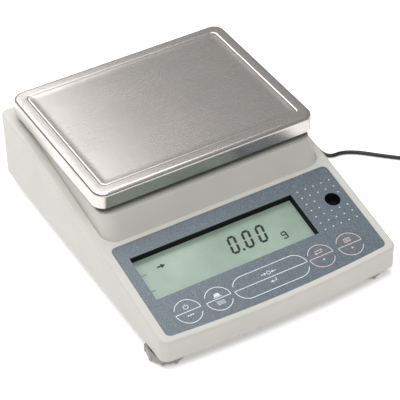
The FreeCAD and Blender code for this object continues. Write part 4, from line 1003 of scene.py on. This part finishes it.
@dataclass
class DisplayFigures:
    """What the display shows: three figures, a point, a unit, an arrow and two ticks."""

    plane: PanelPlane
    height: float = 13.9 * MM
    width: float = 6.2 * MM
    line: float = 1.7 * MM
    lean: float = 0.165
    gap: float = 0.16 * MM
    base: float = 47.25 * MM
    glass_depth_mm: float = 5.85
    lefts: tuple[float, ...] = (-9.5 * MM, 1.1 * MM, 11.2 * MM)
    # Each of the gram sign's segments: x, height above the base line, width and height, in millimetres.
    unit_mm: Rows = (
        (28.1, -0.5, 2.9, 0.95),
        (28.5, 2.0, 2.9, 0.95),
        (26.8, 0.75, 0.95, 2.3),
        (29.8, -0.5, 0.95, 5.6),
        (27.9, -3.0, 3.0, 0.95),
    )
    # Ticks at the window's left edge and the arrow's shaft, in the same way.
    bars_mm: Rows = (
        (-68.1, 10.7, 4.1, 0.4),
        (-68.7, -2.2, 3.6, 0.4),
        (-56.1, 12.5, 2.9, 1.15),
    )
    arrow_head_mm: tuple[float, float] = (-53.9, 12.5)
    arrow_radius: float = 2.0 * MM
    point_mm: tuple[float, float] = (-0.95, 0.9)
    point_radius: float = 0.95 * MM

    def spot(self, x_mm: float, v_mm: float) -> tuple[float, float]:
        """Turns x and the height above the base line, in millimetres, into drawing metres."""
        return x_mm * MM, self.base + v_mm * MM

    def bar(self, centre: tuple[float, float], width: float, height: float) -> Piece:
        """Makes one segment: a plane whose four corners are cut off.

        Args:
            centre: its middle on the drawing, in metres.
            width: its size along x.
            height: its size up the slope.

        Returns:
            The segment.
        """
        made = patch("segment", centre, width, height)
        edit(made)
        bpy.ops.mesh.bevel(offset=self.line * 0.42, affect="VERTICES", segments=1)
        leave()
        return made

    def zero(self, left: float) -> list[Piece]:
        """Makes the six outer segments of one figure.

        Args:
            left: x of the figure's left side, in metres.

        Returns:
            The segments.
        """
        half = self.height / 2
        low, high = self.base + self.line / 2, self.base + self.height - self.line / 2
        middle = self.base + half
        across = self.width - self.line - self.gap
        upright = half - self.line * 0.75 - self.gap
        bars = [self.bar((left + self.width / 2, v), across, self.line) for v in (low, high)]
        for x in (left + self.line / 2, left + self.width - self.line / 2):
            for v in ((low + middle) / 2, (middle + high) / 2):
                bars.append(self.bar((x, v), self.line, upright))
        return bars

    def slant(self, obj: Piece) -> None:
        """Leans a drawing to the right, one level of corners at a time.

        Args:
            obj: the drawing.
        """
        edit(obj)
        levels = sorted({round(v.co.y, 6) for v in bmesh.from_edit_mesh(obj.data).verts})
        for level in levels:
            select(obj, Part.VERTICES, lambda place, _: abs(place.y - level) < 1e-6)
            bpy.ops.transform.translate(value=((level - self.base) * self.lean, 0, 0))
        leave()

    def build(self) -> None:
        """Makes all that the display shows, on the face of its glass."""
        figures = join("figures", [bar for left in self.lefts for bar in self.zero(left)])
        self.slant(figures)
        unit = [self.bar(self.spot(x, v), wide * MM, tall * MM) for x, v, wide, tall in self.unit_mm]
        bars = [patch("bar", self.spot(x, v), wide * MM, tall * MM) for x, v, wide, tall in self.bars_mm]
        head = triangle("arrow_head", self.spot(*self.arrow_head_mm), self.arrow_radius, -90)
        point = ring("decimal_point", self.spot(*self.point_mm), self.point_radius, 1.0, 16)
        shown = join("display_figures", [figures, point, *unit, *bars, head])
        self.plane.lay(shown, 0.02 - self.glass_depth_mm, 0.04)
        wear(shown, Look.SEGMENT, "case")


@dataclass(frozen=True)
class SignShape:
    """Parts of one small sign, in millimetres about its middle."""

    strips: Rows = ()
    triangles: Rows = ()
    hoop: float = 0.0


class Sign(Enum):
    """Small signs printed on the keys: strips, triangles with their turn, and a ring's radius."""

    POWER = SignShape(strips=((0, 1.2, 0.42, 1.9),), hoop=1.75)
    WEIGHT = SignShape(strips=((0, -0.5, 4.4, 2.2), (0, -2.1, 6.0, 0.42)), hoop=0.8)
    ZERO = SignShape(
        strips=((-4.4, 0, 2.2, 0.42), (4.4, 0, 2.2, 0.42)),
        triangles=((-2.7, 0, 1.0, -90), (2.7, 0, 1.0, 90)),
        hoop=1.4,
    )
    SWAP = SignShape(
        strips=((-0.4, 0.8, 4.2, 0.42), (0.4, -0.9, 4.2, 0.42)),
        triangles=((2.3, 0.8, 0.95, -90), (-2.3, -0.9, 0.95, 90)),
    )
    SHEET = SignShape(strips=((0, 0, 4.6, 3.0), (0, 0.45, 2.8, 0.36), (0, -0.5, 2.8, 0.36)))
    DOTS = SignShape(strips=((-1.6, 0, 1.1, 0.9), (0, 0, 1.1, 0.9), (1.6, 0, 1.1, 0.9)))
    LIST = SignShape(strips=((0, 1.1, 5.4, 0.4), (0, 0, 5.4, 0.4), (0, -1.1, 5.4, 0.4)))
    ENTER = SignShape(
        strips=((0.9, -0.3, 2.4, 0.42), (2.0, 0.7, 0.42, 1.6)),
        triangles=((-1.2, -0.3, 1.25, 90),),
    )
    UP = SignShape(triangles=((0, 0, 1.05, 0),))
    RIGHT = SignShape(triangles=((0, 0, 1.05, -90),))


@dataclass
class KeyPrint:
    """The printed outline and signs of one key; they ride on that key."""

    plane: PanelPlane
    name: str
    centre: float
    upper: Sign
    lower: Sign
    ink: Look
    length: float = 18.0 * MM
    radius: float = 9.0 * MM
    row: float = 18.8 * MM
    line: float = 0.52 * MM
    sign_line: float = 0.42 * MM
    open_height: float = 4.0 * MM
    upper_sign: float = 3.5 * MM
    lower_sign: float = -3.1 * MM

    def in_gap(self, place: Vector) -> bool:
        """Says whether a face of the outline lies in one of its two openings.

        Args:
            place: the face's middle.

        Returns:
            True just above the line at the left end and just below it at the right end.
        """
        beyond = abs(place.x) > self.length / 2 - self.radius * 0.5
        upper_left = place.x < 0 and 0 < place.y < self.open_height
        lower_right = place.x > 0 and -self.open_height < place.y < 0
        return beyond and (upper_left or lower_right)

    def outline(self) -> Piece:
        """Makes a ring stretched to the key's length, opened at two places, with a line across.

        Returns:
            The outline.
        """
        made = ring(f"{self.name}_ring", (0, 0), self.radius, self.line)
        edit(made)
        half = self.length / 2 - self.radius
        if half > 0:
            select(made, Part.VERTICES, lambda place, _: place.x > 1e-5)
            bpy.ops.transform.translate(value=(half, 0, 0))
            select(made, Part.VERTICES, lambda place, _: place.x < -1e-5)
            bpy.ops.transform.translate(value=(-half, 0, 0))
        select(made, Part.FACES, lambda place, _: self.in_gap(place))
        bpy.ops.mesh.delete(type="FACE")
        leave()
        across = patch(f"{self.name}_across", (0, 0), self.length - self.line, self.line)
        return join(f"{self.name}_outline", [made, across])

    def sign(self, kind: Sign, v: float) -> Piece:
        """Draws one small sign about the key's middle.

        Args:
            kind: which sign.
            v: its height above the key's middle line, in metres.

        Returns:
            The sign.
        """
        shape = kind.value
        strips = [patch("strip", (x * MM, y * MM), w * MM, h * MM) for x, y, w, h in shape.strips]
        arrows = [triangle("head", (x * MM, y * MM), r * MM, turn) for x, y, r, turn in shape.triangles]
        hoops = [ring("hoop", (0, 0), shape.hoop * MM, self.sign_line, 32)] if shape.hoop else []
        if kind is Sign.POWER:
            edit(hoops[0])
            select(hoops[0], Part.FACES, lambda place, _: place.y > 0 and abs(place.x) < 0.8 * MM)
            bpy.ops.mesh.delete(type="FACE")
        elif kind is Sign.WEIGHT:
            edit(strips[0])
            select(strips[0], Part.VERTICES, lambda place, _: place.y > 0)
            bpy.ops.transform.resize(value=(0.7, 1, 1), center_override=(0, 0, 0))
        elif kind is Sign.SHEET:
            edit(strips[0])
            bpy.ops.mesh.inset(thickness=self.sign_line)
            bpy.ops.mesh.delete(type="FACE")
        drawn = join("sign", [*strips, *arrows, *hoops])
        shift(drawn, (0, v, 0))
        return drawn

    def build(self) -> None:
        """Prints the outline and both signs on the key."""
        upper = self.sign(self.upper, self.upper_sign)
        lower = self.sign(self.lower, self.lower_sign)
        drawn = join(f"{self.name}_print", [self.outline(), upper, lower])
        shift(drawn, (self.centre, self.row, 0))
        self.plane.lay(drawn, 0.01)
        wear(drawn, self.ink, f"{self.name}_key")


@dataclass
class PanelDots:
    """Small white dots printed round the window of the bubble level."""

    plane: PanelPlane
    columns_mm: tuple[float, ...] = (51.3, 57.4, 63.4, 69.5, 75.6)
    rows_mm: tuple[float, ...] = (69.35, 63.65, 58.15, 52.45, 46.85, 41.25, 35.55)
    radius: float = 0.48 * MM
    sight_mm: tuple[float, float] = (69.0, 54.65)
    clear_mm: float = 7.4

    def build(self) -> None:
        """Prints the dots, leaving out those that the window takes."""
        dots = []
        for x in self.columns_mm:
            for v in self.rows_mm:
                if math.hypot(x - self.sight_mm[0], v - self.sight_mm[1]) > self.clear_mm:
                    dots.append(ring("dot", (x * MM, v * MM), self.radius, 1.0, 14))
        printed = join("panel_dots", dots)
        self.plane.lay(printed, 0.01)
        wear(printed, Look.WHITE_INK, "case")


@dataclass
class BubbleLevel:
    """Marking ring and bubble of the round level."""

    ring_radius: float = 2.6 * MM
    ring_line: float = 0.3 * MM
    bubble_radius: float = 2.0 * MM
    bubble_depth: float = 0.9 * MM
    flatness: float = 0.4

    def build(self) -> None:
        """Makes the ring on the vial's face and the flattened bubble just under it."""
        low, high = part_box("bubble_level_vial")
        centre = (low + high) / 2
        mark = ring("level_ring", (centre.x, centre.y), self.ring_radius, self.ring_line, 48)
        thicken(mark, 0.05 * MM, 1.0)
        shift(mark, (0, 0, high.z + 0.01 * MM))
        wear(mark, Look.SEGMENT, "case")
        deselect()
        place = (centre.x, centre.y, high.z - self.bubble_depth)
        bpy.ops.mesh.primitive_uv_sphere_add(
            segments=32, ring_count=16, radius=self.bubble_radius, location=place
        )
        bpy.ops.transform.resize(value=(1, 1, self.flatness))
        bubble = settle("level_bubble")
        smooth(bubble, 60)
        wear(bubble, Look.BUBBLE, "case")


@dataclass
class Pan:
    """Deep-drawn steel pan: skirt, rolled edge, border, fine crease and a shallow dished plate."""

    corner: float = 8.5 * MM
    edge: float = 2.6 * MM
    edge_steps: int = 6
    sheet: float = 1.0 * MM
    lip: float = 0.4 * MM
    segments: int = 8
    # Border, crease and dish: distance in, drop below the top and corner radius, in millimetres.
    plate_mm: Rows = (
        *((3.0, 0.0, 5.6), (7.4, 0.03, 3.9), (7.8, 0.05, 3.7), (8.05, 0.13, 3.6), (8.2, 0.27, 3.5)),
        *((8.4, 0.34, 3.4), (8.6, 0.3, 3.35), (8.9, 0.25, 3.3), (9.3, 0.26, 3.2), (10.2, 0.33, 3.1)),
        *((11.2, 0.41, 3.0), (12.3, 0.455, 2.9), (13.3, 0.475, 2.8), (14.3, 0.48, 2.7)),
    )

    def profile(self, height: float) -> list[tuple[float, float, float]]:
        """Section from the skirt's lower edge to the plate.

        Args:
            height: of the whole pan, in metres.

        Returns:
            Distance in from the side, drop below the top and corner radius, ring by ring.
        """
        rings = [(0.0, drop, self.corner) for drop in (height, height - self.lip, self.edge + self.lip)]
        for step in range(self.edge_steps + 1):
            angle = math.pi / 2 * step / self.edge_steps
            inward = self.edge * (1 - math.cos(angle))
            rings.append((inward, self.edge * (1 - math.sin(angle)), self.corner - inward))
        return rings + [(inset * MM, drop * MM, radius * MM) for inset, drop, radius in self.plate_mm]

    def outline(self, row: tuple[float, float, float]) -> Piece:
        """Makes one rounded rectangle of the section, as a filled face.

        Args:
            row: distance in from the side, drop below the top and corner radius.

        Returns:
            The face, at its level.
        """
        low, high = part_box("pan")
        inset, drop, radius = row
        width, depth = high.x - low.x - 2 * inset, high.y - low.y - 2 * inset
        made = patch("outline", (low + high) / 2, width, depth)
        edit(made)
        bpy.ops.mesh.bevel(offset=radius, affect="VERTICES", segments=self.segments, profile=0.5)
        leave()
        shift(made, (0, 0, high.z - drop))
        return made

    def build(self) -> None:
        """Bridges the rings into a skin, closes it with the plate and gives it the sheet's thickness."""
        low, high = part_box("pan")
        rows = self.profile(high.z - low.z)
        bands = []
        for pair in zip(rows, rows[1:]):
            band = join("pan_band", [self.outline(row) for row in pair])
            edit(band)
            bpy.ops.mesh.delete(type="ONLY_FACE")
            bpy.ops.mesh.select_all(action="SELECT")
            bpy.ops.mesh.bridge_edge_loops()
            leave()
            bands.append(band)
        skin = join("pan_skin", [*bands, self.outline(rows[-1])])
        edit(skin)
        bpy.ops.mesh.remove_doubles(threshold=1e-6)
        bpy.ops.mesh.normals_make_consistent(inside=False)
        leave()
        thicken(skin, self.sheet, -1.0)
        smooth(skin, 50)
        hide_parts("pan")
        wear(skin, Look.PAN, "pan")


@dataclass
class HoleShadeSleeve:
    """Thin black sheet lining the hole over the bubble level, cut off under the film: painted shade for
    the dark hole.
    """

    plane: PanelPlane
    radius: float = 5.36 * MM
    wall: float = 0.12 * MM
    length: float = 9 * MM
    under_film_mm: float = 0.45

    def build(self) -> None:
        """Opens a cylinder at both ends and cuts it along the panel's plane."""
        low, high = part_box("bubble_level_cup")
        middle = (low + high) / 2
        deselect()
        bpy.ops.mesh.primitive_cylinder_add(
            vertices=48,
            radius=self.radius,
            depth=self.length,
            location=(middle.x, middle.y, high.z + self.length / 2),
        )
        sleeve = settle("sight_sleeve")
        edit(sleeve)
        select(sleeve, Part.FACES, lambda _, normal: abs(normal.z) > 0.9)
        bpy.ops.mesh.delete(type="ONLY_FACE")
        bpy.ops.mesh.select_all(action="SELECT")
        under = self.plane.matrix(-self.under_film_mm)
        outwards = under.to_3x3() @ Vector((0, 0, 1))
        bpy.ops.mesh.bisect(plane_co=under.translation, plane_no=outwards, clear_outer=True)
        leave()
        thicken(sleeve, self.wall, -1.0)
        smooth(sleeve, 35)
        # Matt black here is painted shade: the hole's wall is dark from shadow, not from a black part.
        wear(sleeve, Look.BEZEL, "case")


# ------------ whole balance

# Each key's name, centre and length in millimetres, its two signs and its ink.
KEYS = (
    ("power", -59.1, 18.0, Sign.POWER, Sign.DOTS, Look.WHITE_INK),
    ("calibrate", -37.6, 18.0, Sign.WEIGHT, Sign.LIST, Look.WHITE_INK),
    ("tare", 0.4, 53.6, Sign.ZERO, Sign.ENTER, Look.WHITE_INK),
    ("unit", 37.5, 18.0, Sign.SWAP, Sign.UP, Look.PINK_INK),
    ("print", 59.0, 18.0, Sign.SHEET, Sign.RIGHT, Look.PINK_INK),
)
NODE_LOOKS: dict[Look, Sequence[str]] = {
    Look.CASE: ("upper_housing", "platform_cover"),
    Look.UNDERSIDE: ("bottom_cover",),
    Look.PLATED: ("cover_screws", "cell_screws", "board_screws", "overload_stops", "adapter_pins"),
    Look.BRASS: ("foot_inserts",),
    Look.FILM: ("control_panel_film", *(f"{key[0]}_key" for key in KEYS)),
    Look.BEZEL: ("lcd_bezel", "bubble_level_cup", "sensor_flag", "position_sensor"),
    Look.GLASS: ("lcd_panel",),
    Look.VIAL: ("bubble_level_vial",),
    Look.BOARD: ("display_board", "main_board"),
    Look.SOCKET: ("key_switches", "main_board_parts", "power_jack", "data_port", "dc_plug"),
    Look.CASTING: ("cell_base", "upper_guide", "lower_guide", "load_carrier", "lever", "pan_support"),
    Look.COPPER: ("force_coil",),
    Look.YOKE: ("magnet_yoke", "pole_cap"),
    Look.MAGNET: ("magnet",),
    Look.PAN: ("pan",),
    Look.RUBBER: ("pan_cushions",),
    Look.LEAD: ("ribbon_cable", "plug_relief", "coil_tie", "adapter_relief"),
    Look.HOUSING_BLACK: ("adapter_housing",),
}
FEET = ("front_left", "front_right", "rear_left", "rear_right")


def dress_nodes() -> None:
    """Gives every carried-over CAD node its finish."""
    looks = dict(NODE_LOOKS)
    for corner in FEET:
        for look, part in ((Look.RUBBER, "pad"), (Look.FOOT, "wheel"), (Look.PLATED, "stud")):
            looks[look] = (*looks.get(look, ()), f"{corner}_foot_{part}")
    for look, names in looks.items():
        material = look.value.build()
        for name in names:
            NODES[name].data.materials.clear()
            NODES[name].data.materials.append(material)
            LOG.info("%s is finished in %s", name, look.value.name)


def corners() -> list[list[float]]:
    """The shown object's lowest and highest corner as plain lists."""
    return [[round(float(v), 5) for v in corner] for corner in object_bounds()]


def main() -> None:
    """Builds every piece in order."""
    logging.basicConfig(level=logging.INFO, format="%(name)s: %(message)s")
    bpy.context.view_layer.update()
    Studio().build()
    PowerLead().build()
    dress_nodes()
    plane = PanelPlane.from_frame()
    DisplayFigures(plane).build()
    for name, centre, length, upper, lower, ink in KEYS:
        KeyPrint(plane, name, centre * MM, upper, lower, ink, length * MM).build()
    PanelDots(plane).build()
    BubbleLevel().build()
    HoleShadeSleeve(plane).build()
    Pan().build()


if __name__ == "__main__":
    main()
